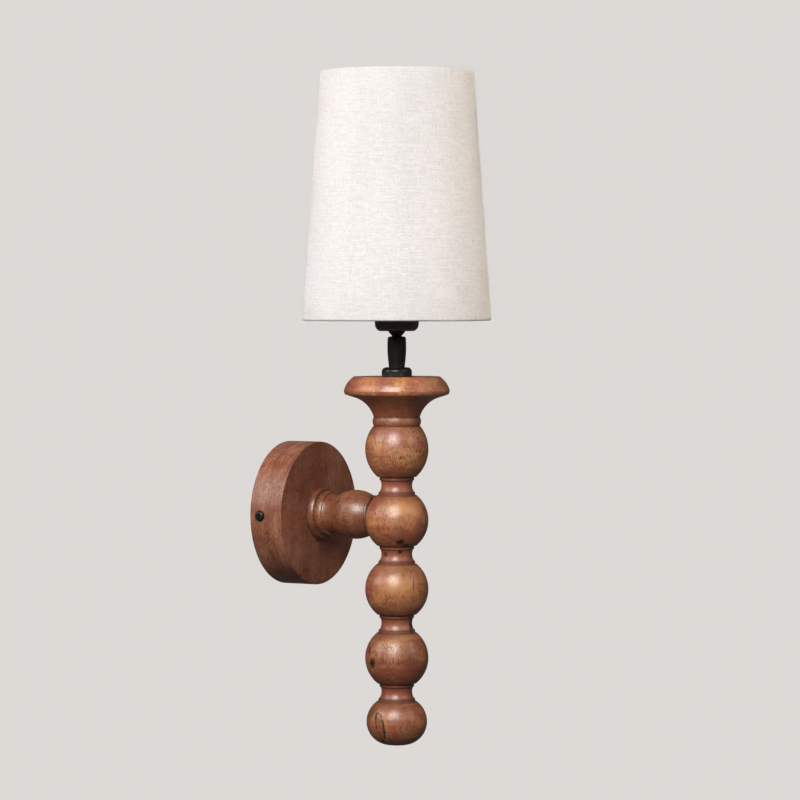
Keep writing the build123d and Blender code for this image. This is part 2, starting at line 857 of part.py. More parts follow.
with BuildPart() as holder_cap:
    with BuildSketch(column_lathe):
        with BuildLine():
            TangentArc(cap_shoulder, (cap_base_radius, cap_base), tangent=cap_side)
            Polyline(
                cap_shoulder,
                cap_rim,
                (cap_bore, cap_top),
                (cap_bore, cap_top - body_engagement - seat_gap),
                (cap_shoulder[0] - cap_wall, cap_shoulder[1]),
                (cap_base_radius, holder_floor),
                (thread_hole, holder_floor),
                (thread_hole, cap_base),
                (cap_base_radius, cap_base),
            )
        make_face()
    revolve(axis=column_axis)
write_piece(holder_cap, "holder_cap")

with BuildPart() as holder_nut:
    with BuildSketch(level(holder_floor)):
        RegularPolygon(holder_nut_width / 2, 6, major_radius=False)
        Circle(thread_hole, mode=Mode.SUBTRACT)
    extrude(amount=holder_nut_height)
write_piece(holder_nut, "holder_nut")

# Holder body: a spigot screwed into the cap, a flange that carries the shade and a threaded skirt
body_spigot = cap_bore - thread_fit
body_bore = body_spigot - body_spigot_wall
disc_radius = body_bore - insert_disc_clearance
skirt_radius = skirt_diameter / 2
skirt_bore = skirt_radius - skirt_wall
skirt_top = flange_top + skirt_height
disc_top = flange_top - ledge_drop
bulb_cap_radius = bulb_cap_diameter / 2
shell_bore = bulb_cap_radius + shell_clearance
shell_radius = shell_bore + shell_wall
ledge_bore = shell_radius + hole_clearance
thread_rings = int((skirt_height - skirt_thread_pitch) / skirt_thread_pitch)

with BuildPart() as holder_body:
    with BuildSketch(column_lathe):
        with BuildLine():
            Polyline(
                (skirt_radius, flange_top),
                (body_flange_diameter / 2, flange_top),
                (body_flange_diameter / 2, cap_top),
                (body_spigot, cap_top),
                (body_spigot, cap_top - body_engagement),
                (body_bore, cap_top - body_engagement),
                (body_bore, disc_top),
                (ledge_bore, disc_top),
                (ledge_bore, disc_top + ledge_height),
                (skirt_bore, disc_top + ledge_height),
                (skirt_bore, skirt_top),
                (skirt_radius, skirt_top),
                close=True,
            )
        make_face()
    revolve(axis=column_axis)
    with BuildSketch(column_lathe):
        for ring in range(thread_rings):
            with Locations((skirt_radius, skirt_top - (ring + 1) * skirt_thread_pitch)):
                RegularPolygon(skirt_thread_depth, 4)
    revolve(axis=column_axis, mode=Mode.SUBTRACT)
write_piece(holder_body, "holder_body")

# Contact parts: an insulating disc, the screw shell, the sprung centre contact and two terminal screws
disc_bottom = disc_top - insert_disc_height

with BuildPart() as contact_disc:
    with BuildSketch(level(disc_bottom)):
        Circle(disc_radius)
        with GridLocations(holder_screw_spacing, 0, 2, 1):
            Circle(holder_screw_diameter / 2 + thread_fit, mode=Mode.SUBTRACT)
    extrude(amount=insert_disc_height)
write_piece(contact_disc, "contact_disc")

with BuildPart() as screw_shell:
    with BuildSketch(column_lathe):
        with BuildLine():
            Polyline(
                (shell_hole / 2, disc_top),
                (shell_radius, disc_top),
                (shell_radius, disc_top + shell_height),
                (shell_bore, disc_top + shell_height),
                (shell_bore, disc_top + shell_wall),
                (shell_hole / 2, disc_top + shell_wall),
                close=True,
            )
        make_face()
    revolve(axis=column_axis)
write_piece(screw_shell, "screw_shell")

contact_foot = contact_length / 2
contact_top = disc_top + contact_rise

with BuildPart() as centre_contact:
    with BuildSketch(column_lathe):
        with BuildLine():
            Polyline(
                (-contact_foot, disc_top),
                (0, disc_top),
                (0, disc_top + contact_sheet),
                (contact_sheet - contact_foot, disc_top + contact_sheet),
                (contact_sheet - contact_foot, contact_top - contact_sheet),
                (contact_foot, contact_top - contact_sheet),
                (contact_foot, contact_top),
                (-contact_foot, contact_top),
                close=True,
            )
        make_face()
    extrude(amount=contact_width / 2, both=True)
write_piece(centre_contact, "centre_contact")

with BuildPart() as holder_screws:
    with BuildSketch(level(disc_bottom)):
        with GridLocations(holder_screw_spacing, 0, 2, 1):
            Circle(holder_screw_diameter / 2)
    extrude(amount=holder_screw_length)
    with BuildSketch(level(disc_bottom - holder_screw_head_height)):
        with GridLocations(holder_screw_spacing, 0, 2, 1):
            Circle(holder_screw_head / 2)
    extrude(amount=holder_screw_head_height)
    with BuildSketch(level(disc_bottom - holder_screw_head_height)):
        with GridLocations(holder_screw_spacing, 0, 2, 1):
            Rectangle(screw_slot_width, holder_screw_head)
    extrude(amount=screw_slot_depth, mode=Mode.SUBTRACT)
write_piece(holder_screws, "holder_screws")

# Shade ring: screwed down the skirt on to the shade's fitter, with finger ribs round its flange
fitter_top = fitter_bottom + fitter_thickness
ring_bottom = fitter_top + seat_gap
ring_bore = skirt_radius + hole_clearance

with BuildPart() as shade_ring:
    with BuildSketch(column_lathe):
        with BuildLine():
            Polyline(
                (ring_bore, ring_bottom),
                (shade_ring_diameter / 2, ring_bottom),
                (shade_ring_diameter / 2, ring_bottom + shade_ring_flange),
                (ring_bore + shade_ring_collar, ring_bottom + shade_ring_flange),
                (ring_bore + shade_ring_collar, ring_bottom + shade_ring_height),
                (ring_bore, ring_bottom + shade_ring_height),
                close=True,
            )
        make_face()
    revolve(axis=column_axis)
    with BuildSketch(level(ring_bottom)):
        with PolarLocations(shade_ring_diameter / 2, shade_ring_ribs):
            Circle(shade_ring_rib_depth)
    extrude(amount=shade_ring_flange, mode=Mode.SUBTRACT)
write_piece(shade_ring, "shade_ring")

# Shade: a tapered cloth cover hemmed over two wire rings, on a stiff liner, carried by a spoked fitter
shade_base = shade_bottom_diameter / 2
shade_lean = (shade_bottom_diameter - shade_top_diameter) / 2
slope_length = hypot(shade_lean, shade_height)
wire_radius = wire_diameter / 2
wire_along = cloth_thickness + wire_gap + wire_radius
wire_inward = cloth_thickness + liner_thickness + wire_gap + wire_radius
hem_depth = wire_inward + wire_radius + wire_gap + cloth_thickness


def shade_point(along, inward):
    """Point of the shade's section: up its slope from the lower edge, and in from its outer face."""
    lean = shade_lean / slope_length
    rise = shade_height / slope_length
    return (shade_base - along * lean - inward * rise, shade_bottom + along * rise - inward * lean)


def around(radius, height, turn):
    """Point at a turn in degrees round the column's axis."""
    return Vector(radius, 0, height).rotate(Axis.Z, turn) + Vector(0, -reach, 0)


hem_inner = hem_depth - cloth_thickness
slope_inner = slope_length - cloth_thickness
fold_corners = [(0, 0), (slope_length, 0), (slope_length, hem_depth), (0, hem_depth)]
cloth_outline = [
    (0, 0),
    (slope_length, 0),
    (slope_length, hem_depth),
    (slope_length - hem_height, hem_depth),
    (slope_length - hem_height, hem_inner),
    (slope_inner, hem_inner),
    (slope_inner, cloth_thickness),
    (cloth_thickness, cloth_thickness),
    (cloth_thickness, hem_inner),
    (hem_height, hem_inner),
    (hem_height, hem_depth),
    (0, hem_depth),
]
bottom_wire = shade_point(wire_along, wire_inward)
top_wire = shade_point(slope_length - wire_along, wire_inward)
spoke_radius = spoke_diameter / 2
fitter_middle = fitter_bottom + fitter_thickness / 2
spoke_planes = []
for spoke in range(spoke_count):
    turn = first_spoke + 360 / spoke_count * spoke
    spoke_start = around(*bottom_wire, turn)
    spoke_run = around(fitter_diameter / 2 - spoke_inset, fitter_middle, turn) - spoke_start
    spoke_planes.append(Plane(origin=spoke_start, z_dir=spoke_run))

with BuildPart() as shade_cloth:
    with BuildSketch(column_lathe) as hem_section:
        with BuildLine():
            Polyline(*[shade_point(*corner) for corner in cloth_outline], close=True)
        make_face()
        folds = [hem_section.vertices().sort_by_distance(shade_point(*corner))[0] for corner in fold_corners]
        fillet(folds, hem_fold_round)
    revolve(axis=column_axis)
    for spoke_plane in spoke_planes:
        with BuildSketch(spoke_plane):
            Circle(spoke_radius + notch_clearance)
        extrude(amount=2 * hem_depth, mode=Mode.SUBTRACT)
write_piece(shade_cloth, "shade_cloth")

liner_ends = (cloth_thickness + wire_gap, slope_inner - wire_gap)
liner_faces = (cloth_thickness, cloth_thickness + liner_thickness)

with BuildPart() as shade_liner:
    with BuildSketch(column_lathe):
        with BuildLine():
            Polyline(
                shade_point(liner_ends[0], liner_faces[0]),
                shade_point(liner_ends[1], liner_faces[0]),
                shade_point(liner_ends[1], liner_faces[1]),
                shade_point(liner_ends[0], liner_faces[1]),
                close=True,
            )
        make_face()
    revolve(axis=column_axis)
write_piece(shade_liner, "shade_liner")

with BuildPart() as shade_top_wire:
    with BuildSketch(column_lathe):
        with Locations(top_wire):
            Circle(wire_radius)
    revolve(axis=column_axis)
write_piece(shade_top_wire, "shade_top_wire")

with BuildPart() as shade_frame:
    with BuildSketch(column_lathe):
        with Locations(bottom_wire):
            Circle(wire_radius)
    revolve(axis=column_axis)
    with BuildSketch(level(fitter_bottom)):
        Circle(fitter_diameter / 2)
        Circle(skirt_radius + fitter_clearance, mode=Mode.SUBTRACT)
    extrude(amount=fitter_thickness)
    for spoke_plane in spoke_planes:
        with BuildSketch(spoke_plane):
            Circle(spoke_radius)
        extrude(amount=spoke_run.length)
write_piece(shade_frame, "shade_frame")

# Bulb: a tip contact, an insulator, a threaded cap, a potted housing, a board of diodes and an opal dome
tip_bottom = contact_top + seat_gap
cone_bottom = tip_bottom + bulb_tip_height
bulb_cap_bottom = cone_bottom + bulb_cone_height
bulb_cap_top = bulb_cap_bottom + bulb_cap_height
thread_root = bulb_cap_radius - bulb_thread_depth
cap_inside = thread_root - bulb_cap_sheet
cone_radius = bulb_cone_diameter / 2
thread_start = bulb_cap_bottom + bulb_thread_pitch / 2
thread_stop = thread_start + bulb_thread_turns * bulb_thread_pitch

with BuildPart() as bulb_tip:
    with BuildSketch(level(tip_bottom)):
        Circle(bulb_tip_diameter / 2)
    extrude(amount=bulb_tip_height)
write_piece(bulb_tip, "bulb_tip")

with BuildPart() as bulb_insulator:
    with BuildSketch(column_lathe):
        with BuildLine():
            Polyline(
                (0, cone_bottom),
                (bulb_tip_diameter / 2, cone_bottom),
                (cone_radius, bulb_cap_bottom),
                (0, bulb_cap_bottom),
                close=True,
            )
        make_face()
    revolve(axis=column_axis)
write_piece(bulb_insulator, "bulb_insulator")

with BuildPart() as bulb_cap:
    with BuildSketch(column_lathe):
        with BuildLine():
            Polyline(
                (thread_root, thread_start),
                (thread_root, bulb_cap_bottom),
                (cone_radius - bulb_thread_depth, bulb_cap_bottom),
                (cone_radius - bulb_thread_depth, bulb_cap_bottom + bulb_cap_sheet),
                (cap_inside, bulb_cap_bottom + bulb_cap_sheet),
                (cap_inside, bulb_cap_top),
                (thread_root, bulb_cap_top),
                (thread_root, thread_stop),
            )
            for turn in range(bulb_thread_turns):
                turn_start = thread_start + turn * bulb_thread_pitch
                ThreePointArc(
                    (thread_root, turn_start),
                    (bulb_cap_radius, turn_start + bulb_thread_pitch / 2),
                    (thread_root, turn_start + bulb_thread_pitch),
                )
        make_face()
    revolve(axis=column_axis)
write_piece(bulb_cap, "bulb_cap")

housing_top = bulb_cap_top + bulb_housing_height
housing_radius = bulb_housing_diameter / 2
board_radius = housing_radius - bulb_housing_wall - board_gap

with BuildPart() as bulb_housing:
    with BuildSketch(column_lathe):
        with BuildLine():
            Polyline((0, housing_top - board_thickness), (0, bulb_cap_top), (thread_root, bulb_cap_top))
            TangentArc((thread_root, bulb_cap_top), (housing_radius, housing_top), tangent=(0, 1))
            Polyline(
                (housing_radius, housing_top),
                (board_radius + board_gap, housing_top),
                (board_radius + board_gap, housing_top - board_thickness),
                (0, housing_top - board_thickness),
            )
        make_face()
    revolve(axis=column_axis)
write_piece(bulb_housing, "bulb_housing")

with BuildPart() as diode_board:
    with BuildSketch(level(housing_top - board_thickness)):
        Circle(board_radius)
    extrude(amount=board_thickness)
    with BuildSketch(level(housing_top)):
        with PolarLocations(board_radius / 2, diode_count):
            Rectangle(diode_size, diode_size)
    extrude(amount=diode_height)
write_piece(diode_board, "diode_board")

belly_z = housing_top + bulb_belly_height
bulb_radius = bulb_diameter / 2
dome_bore = bulb_radius - bulb_dome_wall
dome_foot_bore = housing_radius - bulb_dome_wall

with BuildPart() as bulb_dome:
    with BuildSketch(column_lathe):
        with BuildLine():
            TangentArc((bulb_radius, belly_z), (housing_radius, housing_top), tangent=(0, -1))
            TangentArc((bulb_radius, belly_z), (0, belly_z + bulb_radius), tangent=(0, 1))
            Line((0, belly_z + bulb_radius), (0, belly_z + dome_bore))
            TangentArc((dome_bore, belly_z), (0, belly_z + dome_bore), tangent=(0, 1))
            TangentArc((dome_bore, belly_z), (dome_foot_bore, housing_top), tangent=(0, -1))
            Line((dome_foot_bore, housing_top), (housing_radius, housing_top))
        make_face()
    revolve(axis=column_axis)
write_piece(bulb_dome, "bulb_dome")

# Lower flex: from the recess through the arm's tube, up inside the column and into the ball
flex_start = tube_start - flex_proud

with BuildPart() as lower_flex:
    with BuildLine() as flex_route:
        FilletPolyline(
            (0, -flex_start, 0),
            (0, -reach, 0),
            (0, -reach, ball_z - flex_split),
            radius=flex_bend,
        )
    with BuildSketch(Plane(origin=flex_route.line @ 0, z_dir=flex_route.line % 0)):
        Circle(flex_radius)
    sweep()
write_piece(lower_flex, "lower_flex")

# Upper flex: from the ball to the top of the stem
flex_end = stem_end + flex_proud / 2

with BuildPart() as upper_flex:
    with BuildSketch(level(ball_z + flex_split)):
        Circle(flex_radius)
    extrude(amount=flex_end - ball_z - flex_split)
write_piece(upper_flex, "upper_flex")

# Cores in the recess: live and neutral from the flex to the clamps, and the earth lead from its lug
core_radius = core_diameter / 2
core_turn_y = core_turn - flex_start
clamp_y = -clamp_axis
core_end_z = fixing_z
core_routes = {
    "core_live": [
        (-core_spread, -flex_start, 0),
        (-core_spread, core_turn_y, 0),
        (-pole_pitch, -5.0, 8.0),
        (-pole_pitch, clamp_y, 12.0),
        (-pole_pitch, clamp_y, core_end_z),
    ],
    "core_neutral": [
        (core_spread, -flex_start, 0),
        (core_spread, core_turn_y, 0),
        (0.4, -5.0, 7.0),
        (0, clamp_y, 11.5),
        (0, clamp_y, core_end_z),
    ],
    "earth_lead": [
        (earth_x, barrel_y, lug_barrel_z - lug_barrel_length / 2),
        (earth_x, barrel_y, lug_barrel_z + lug_barrel_length),
        (pole_pitch, clamp_y, 11.0),
        (pole_pitch, clamp_y, core_end_z),
    ],
}

for core_name, core_points in core_routes.items():
    with BuildPart() as core:
        with BuildLine() as core_route:
            FilletPolyline(*core_points, radius=core_bend)
        with BuildSketch(Plane(origin=core_route.line @ 0, z_dir=core_route.line % 0)):
            Circle(core_radius)
        sweep()
    write_piece(core, core_name)

# Leads in the holder: two cores from the flex to the terminal screws of the contact disc
lead_x = holder_screw_spacing / 2 - holder_screw_head / 2 - core_radius - hole_clearance

with BuildPart() as holder_leads:
    for side in (-1, 1):
        with BuildLine() as lead_route:
            FilletPolyline(
                (side * core_spread, -reach, flex_end),
                (side * core_spread, -reach, flex_end + lead_straight),
                (side * lead_x, -reach, flex_end + lead_rise),
                (side * lead_x, -reach, disc_bottom),
                radius=core_bend,
            )
        with BuildSketch(Plane(origin=lead_route.line @ 0, z_dir=lead_route.line % 0)):
            Circle(core_radius)
        sweep(path=lead_route.line)
write_piece(holder_leads, "holder_leads")
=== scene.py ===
"""Looks of a turned wooden wall lamp with a linen shade, fitted to its packed construction.

Lengths are in metres.
"""

import json
import logging
import math
from dataclasses import dataclass, replace
from enum import Enum
from typing import Any, Mapping, Sequence

import bpy
from mathutils import Euler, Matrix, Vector

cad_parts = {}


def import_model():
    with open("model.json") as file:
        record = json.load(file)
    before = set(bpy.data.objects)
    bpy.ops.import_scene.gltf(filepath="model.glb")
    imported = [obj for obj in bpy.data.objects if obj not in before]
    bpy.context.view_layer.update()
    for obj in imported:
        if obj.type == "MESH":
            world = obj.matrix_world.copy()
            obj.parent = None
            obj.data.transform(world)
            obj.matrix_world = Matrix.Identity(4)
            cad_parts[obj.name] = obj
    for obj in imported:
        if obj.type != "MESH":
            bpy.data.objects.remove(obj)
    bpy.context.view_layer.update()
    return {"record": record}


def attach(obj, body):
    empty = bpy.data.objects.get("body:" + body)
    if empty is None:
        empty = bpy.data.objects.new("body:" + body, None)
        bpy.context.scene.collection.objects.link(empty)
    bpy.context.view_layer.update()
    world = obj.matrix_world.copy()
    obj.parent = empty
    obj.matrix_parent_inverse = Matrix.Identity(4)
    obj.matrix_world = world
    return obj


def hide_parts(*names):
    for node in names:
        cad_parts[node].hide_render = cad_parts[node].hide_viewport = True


Colour = tuple[float, float, float]
Pair = tuple[float, float]
Point = tuple[float, float, float]

log = logging.getLogger("wall_lamp")

REACH = 0.10211
COLUMN_TOP = 0.0720
CUP_TOP = 0.1116
QUARTER = math.pi / 2
VIEW_TURN = math.radians(-59.2)
SHADE_MIDDLE = (0.0, -REACH, 0.252)
SHADE_FOOT = (0.0, -REACH, 0.218)
BROWN = ((0.135, 0.052, 0.022), (0.17, 0.066, 0.028))
MOULDED = (1400.0, 1400.0, 1400.0)
DRAWN = (900.0, 900.0, 5200.0)
WARM = (1.0, 0.965, 0.92)
AMBER = (1.0, 0.88, 0.72)


class Signal:
    """One output of a node, which takes Python's operators where it carries a number."""

    def __init__(self, maker: "NodeMaker", node: bpy.types.Node, out: int | str) -> None:
        """Keeps the output and the tree that it belongs to.

        Args:
            maker: Builder of the tree.
            node: Node that the output is on.
            out: Name or index of the output.
        """
        self.maker = maker
        self.node = node
        self.socket = node.outputs[out] if node.outputs else None

    def pick(self, out: int | str) -> "Signal":
        """Gives another output of the same node."""
        return Signal(self.maker, self.node, out)

    def __add__(self, other: "Signal | float") -> "Signal":
        """Adds."""
        return self.maker.math("ADD", self, other)

    def __radd__(self, other: float) -> "Signal":
        """Adds to a number."""
        return self.maker.math("ADD", other, self)

    def __sub__(self, other: "Signal | float") -> "Signal":
        """Subtracts."""
        return self.maker.math("SUBTRACT", self, other)

    def __rsub__(self, other: float) -> "Signal":
        """Subtracts from a number."""
        return self.maker.math("SUBTRACT", other, self)

    def __mul__(self, other: "Signal | float") -> "Signal":
        """Multiplies."""
        return self.maker.math("MULTIPLY", self, other)

    def __rmul__(self, other: float) -> "Signal":
        """Multiplies a number."""
        return self.maker.math("MULTIPLY", other, self)

    def __truediv__(self, other: "Signal | float") -> "Signal":
        """Divides."""
        return self.maker.math("DIVIDE", self, other)

    def __abs__(self) -> "Signal":
        """Drops the sign."""
        return self.maker.math("ABSOLUTE", self)


class NodeMaker:
    """Adds nodes to one tree."""

    def __init__(self, tree: bpy.types.NodeTree) -> None:
        """Keeps the tree."""
        self.tree = tree

    def node(
        self,
        kind: str,
        settings: Mapping[str, Any] | None = None,
        feeds: Mapping[int | str, Any] | None = None,
        out: int | str = 0,
    ) -> Signal:
        """Adds one node.

        Args:
            kind: Type name of the node.
            settings: Properties of the node, set before its sockets. "stops" fills a colour ramp.
            feeds: Values or signals of its input sockets, by name or index.
            out: Output that is returned.

        Returns:
            The chosen output.
        """
        made = self.tree.nodes.new(kind)
        for key, value in (settings or {}).items():
            if key == "stops":
                self._fill(made.color_ramp, value)
            else:
                setattr(made, key, value)
        for place, value in (feeds or {}).items():
            self._feed(made.inputs[place], value)
        return Signal(self, made, out)

    def _feed(self, socket: bpy.types.NodeSocket, value: Any) -> None:
        """Links a signal to a socket, or sets the socket's value.

        Args:
            socket: Input socket.
            value: Signal, number, colour, vector or material.
        """
        if isinstance(value, Signal):
            self.tree.links.new(value.socket, socket)
        elif socket.type == "RGBA":
            socket.default_value = (*value, 1.0)
        else:
            socket.default_value = value

    @staticmethod
    def _fill(ramp: bpy.types.ColorRamp, stops: Sequence[tuple[float, Colour]]) -> None:
        """Gives a ramp its colours.

        Args:
            ramp: Colour ramp with its two first elements.
            stops: Places from 0 to 1 with their colours, in order.
        """
        while len(ramp.elements) < len(stops):
            ramp.elements.new(1.0)
        for element, (place, colour) in zip(ramp.elements, stops):
            element.position = place
            element.color = (*colour, 1.0)

    def math(self, operation: str, *terms: Signal | float) -> Signal:
        """Adds a Math node."""
        return self.node("ShaderNodeMath", {"operation": operation}, dict(enumerate(terms)))

    def vector(self, operation: str, *terms: Signal | Point) -> Signal:
        """Adds a Vector Math node."""
        return self.node("ShaderNodeVectorMath", {"operation": operation}, dict(enumerate(terms)))

    def measure(self, operation: str, *terms: Signal | Point) -> Signal:
        """Adds a Vector Math node that gives a number."""
        return self.vector(operation, *terms).pick("Value")

    def split(self, vector: Signal) -> Signal:
        """Takes a vector apart into outputs X, Y and Z."""
        return self.node("ShaderNodeSeparateXYZ", {}, {0: vector})

    def join(self, **parts: Signal) -> Signal:
        """Makes a vector of the parts X, Y and Z that are given."""
        return self.node("ShaderNodeCombineXYZ", {}, parts)

    def smooth(self, value: Signal, low: float, high: float) -> Signal:
        """Rises softly from 0 at low to 1 at high."""
        feeds = {0: value, 1: low, 2: high, 3: 0.0, 4: 1.0}
        return self.node("ShaderNodeMapRange", {"interpolation_type": "SMOOTHSTEP"}, feeds)

    def fall(self, value: Signal, low: float, high: float) -> Signal:
        """Falls softly from 1 at low to 0 at high."""
        return 1.0 - self.smooth(value, low, high)


@dataclass(frozen=True)
class Variation:
    """A cloudy variation over a surface.

    It has its changes to a metre along each axis, its octaves and the finer ones' share, the two values
    between which its patches rise from nothing to full, and how much of it shows.
    """

    scale: Point
    detail: float = 2.0
    roughness: float = 0.5
    low: float = 0.0
    high: float = 1.0
    share: float = 1.0


class Surface(NodeMaker):
    """Node tree of one finish."""

    def __init__(self, name: str) -> None:
        """Makes an empty material.

        Args:
            name: Name of the material.
        """
        self.material = bpy.data.materials.new(name)
        self.material.use_nodes = True
        super().__init__(self.material.node_tree)
        self.tree.nodes.clear()

    def place(self) -> Signal:
        """Gives the object's own coordinates."""
        return self.node("ShaderNodeTexCoord", out="Object")

    def noise(self, at: Signal, kind: Variation, out: int = 0) -> Signal:
        """Adds a variation.

        Args:
            at: Coordinates in metres.
            kind: Sizes of the variation.
            out: 0 for a number, 1 for a colour.

        Returns:
            The variation, about one half on average.
        """
        feeds = {
            "Vector": self.vector("MULTIPLY", at, kind.scale),
            "Scale": 1.0,
            "Detail": kind.detail,
            "Roughness": kind.roughness,
        }
        return self.node("ShaderNodeTexNoise", {}, feeds, out)

    def patches(self, at: Signal, kind: Variation) -> Signal:
        """Gives the patches of a variation, from 0 to 1."""
        return self.smooth(self.noise(at, kind), kind.low, kind.high)

    def wander(self, at: Signal, kind: Variation) -> Signal:
        """Gives a variation as a vector that is nothing on average."""
        return self.vector("SUBTRACT", self.noise(at, kind, 1), (0.5, 0.5, 0.5))

    def mix(self, share: Signal | float, first: Signal | Colour, second: Signal | Colour) -> Signal:
        """Mixes two colours."""
        return self.node("ShaderNodeMix", {"data_type": "RGBA"}, {0: share, 6: first, 7: second}, 2)

    def ramp(self, value: Signal, stops: Sequence[tuple[float, Colour]]) -> Signal:
        """Turns a number into a colour."""
        return self.node("ShaderNodeValToRGB", {"stops": stops}, {0: value})

    def bump(self, height: Signal, depth: float, strength: float = 1.0) -> Signal:
        """Tilts the surface by a height from 0 to 1 that stands for a depth in metres."""
        feeds = {"Strength": strength, "Distance": depth, "Height": height}
        return self.node("ShaderNodeBump", {}, feeds)

    def close(self, **feeds: Any) -> bpy.types.Material:
        """Ends the tree in a Principled shader.

        Args:
            **feeds: Its sockets, with underscores for spaces.

        Returns:
            The material.
        """
        named = {key.replace("_", " "): value for key, value in feeds.items()}
        shader = self.node("ShaderNodeBsdfPrincipled", {}, named)
        self.node("ShaderNodeOutputMaterial", {}, {"Surface": shader})
        return self.material


class Axis(Enum):
    """Axis of the frame that a piece was turned about."""

    OUT = "Y"
    UP = "Z"


class MarkKind(Enum):
    """How a knot or crack shows in the wood."""

    SPOT = "filled"
    OUTLINE = "a line round redder wood"
    FLECKED = "short pale dashes along the fibres"
    GOLDEN = "a soft golden cloud"


@dataclass(frozen=True)
class Mark:
    """A knot, crack or dark fleck, placed as the photograph shows it."""

    across: float
    height: float
    half_wide: float
    half_tall: float
    half_deep: float = 0.014
    depth: float = 0.020
    kind: MarkKind = MarkKind.SPOT
    share: float = 0.95
    lean: float = 0.0

    def scale(self) -> Point:
        """Gives how many of its half sizes go to a metre along each axis."""
        return (1 / self.half_wide, 1 / self.half_deep, 1 / self.half_tall)


@dataclass(frozen=True)
class Grooves:
    """Corners and hollow of a turned profile, as lengths below a top, that get stain and painted shade."""

    top: float
    below: tuple[float, ...]
    pitch: float = 0.0
    half_width: float = 0.0016
    shade_halo: float = 0.0125
    hollow: Pair | None = None


@dataclass(frozen=True)
class Fade:
    """Two places along a piece between which its wood turns darker, and by how much."""

    dark: float
    light: float
    share: float


@dataclass(frozen=True)
class Scribed:
    """End of a piece that was cut to the round of a bead, with a highlight painted along its edge."""

    centre: Point
    radius: float
    width: float
    share: float


@dataclass(frozen=True)
class Grain:
    """Fibres, pores, rings, bands and patches of the wood, written for an upright piece, with painted shade
    at the profile's corners and hollow and the breakup of a painted edge highlight.
    """

    fibre: Variation = Variation((900.0, 900.0, 60.0), 3.0, 0.6, share=0.20)
    pores: Variation = Variation((1050.0, 1050.0, 260.0), 1.0, low=0.56, high=0.66, share=0.76)
    crowd: Variation = Variation((42.0, 42.0, 60.0), 1.0, low=0.46, high=0.64, share=0.60)
    dashes: Variation = Variation((1900.0, 1900.0, 90.0), 1.0, low=0.51, high=0.62, share=0.38)
    dashed: Variation = Variation((30.0, 30.0, 22.0), 1.0, low=0.52, high=0.68)
    highlight_breakup: Variation = Variation((150.0, 150.0, 150.0), low=0.35, high=0.65)
    drift: Variation = Variation((38.0, 38.0, 9.0))
    cloud: Variation = Variation((46.0, 46.0, 30.0), 3.0, 0.55, share=0.36)
    streak: Variation = Variation((260.0, 260.0, 14.0), share=0.12)
    band: Variation = Variation((14.0, 14.0, 210.0), 3.0, 0.6, share=0.34)
    line: Variation = Variation((55.0, 55.0, 900.0), 2.0, 0.6, share=0.22)
    mottle: Variation = Variation((420.0, 420.0, 260.0), 2.0, 0.6, share=0.22)
    lathe: Variation = Variation((1.0, 1.0, 1500.0), 2.0, 0.6)
    hue: Variation = Variation((32.0, 32.0, 84.0), 3.0, 0.6)
    hue_seed: Point = (0.7, 0.2, 0.4)
    gold_steps: Pair = (0.505, 0.685)
    red_steps: Pair = (0.34, 0.50)
    ring_drift: Point = (0.016, 0.016, 0.0)
    ring_starts: float = 0.25
    ring_full: float = 0.90
    rings: float = 0.05
    darker: float = 0.16
    tones: Point = (0.34, 0.52, 0.68)
    # Shares of the painted shade round the profile's corners, of the darker, redder wood painted as shade in
    # its hollow, and of the dark line of stain and painted shade at each corner.
    shade_halo: float = 0.48
    hollow: float = 0.50
    stain_and_shade: float = 0.62


@dataclass(frozen=True)
class Marking:
    """How the edges of knots, cracks, flecks and clouds are drawn."""

    ragged: Variation = Variation((480.0, 480.0, 360.0), 3.0, 0.65)
    ragged_line: Point = (0.35, 0.0, 0.25)
    ragged_patch: Point = (1.3, 1.3, 1.3)
    patch_edge: Pair = (0.55, 1.05)
    cloud_edge: Pair = (0.10, 1.25)
    core_edge: Pair = (0.70, 1.0)
    core: float = 0.58
    worn: Variation = Variation((330.0, 330.0, 260.0), 1.0, low=0.30, high=0.70, share=0.65)
    line_edge: Pair = (0.0004, 0.0016)
    line_run: Point = (1.0, 0.0, 0.8)
    line_ends: Pair = (-1.35, -0.45)
    dash_pitch: float = 0.0017
    dash_run: Point = (1.0, 0.0, 0.22)
    dash_edge: Pair = (0.1, 0.9)
    dash_bend: Variation = Variation((360.0, 360.0, 170.0), share=8.0)
    dash_kept: Variation = Variation((640.0, 640.0, 380.0), 1.0, low=0.36, high=0.56)


@dataclass(frozen=True)
class Polish:
    """Gloss and relief of the waxed wood: how rough, bare, high or deep each part of its grain is."""

    roughness: float = 0.36
    rough_fibre: float = 0.12
    rough_pores: float = 0.16
    rough_stain: float = 0.10
    specular: float = 0.6
    wax_roughness: float = 0.32
    bare: float = 0.7
    least_wax: float = 0.1
    fibre_height: float = 0.4
    lathe_height: float = 0.35
    pore_depth: float = 0.7
    mark_depth: float = 0.6
    relief: float = 0.00020
    strength: float = 0.8


@dataclass(frozen=True)
class Places:
    """Coordinates of a wooden piece.

    They are the object's own, those about the piece's axis, the latter moved to the piece's own cut of wood,
    and the place along the lathe. On an upright piece, X about the axis is to the right of the view.
    """

    own: Signal
    at: Signal
    seeded: Signal
    level: Signal


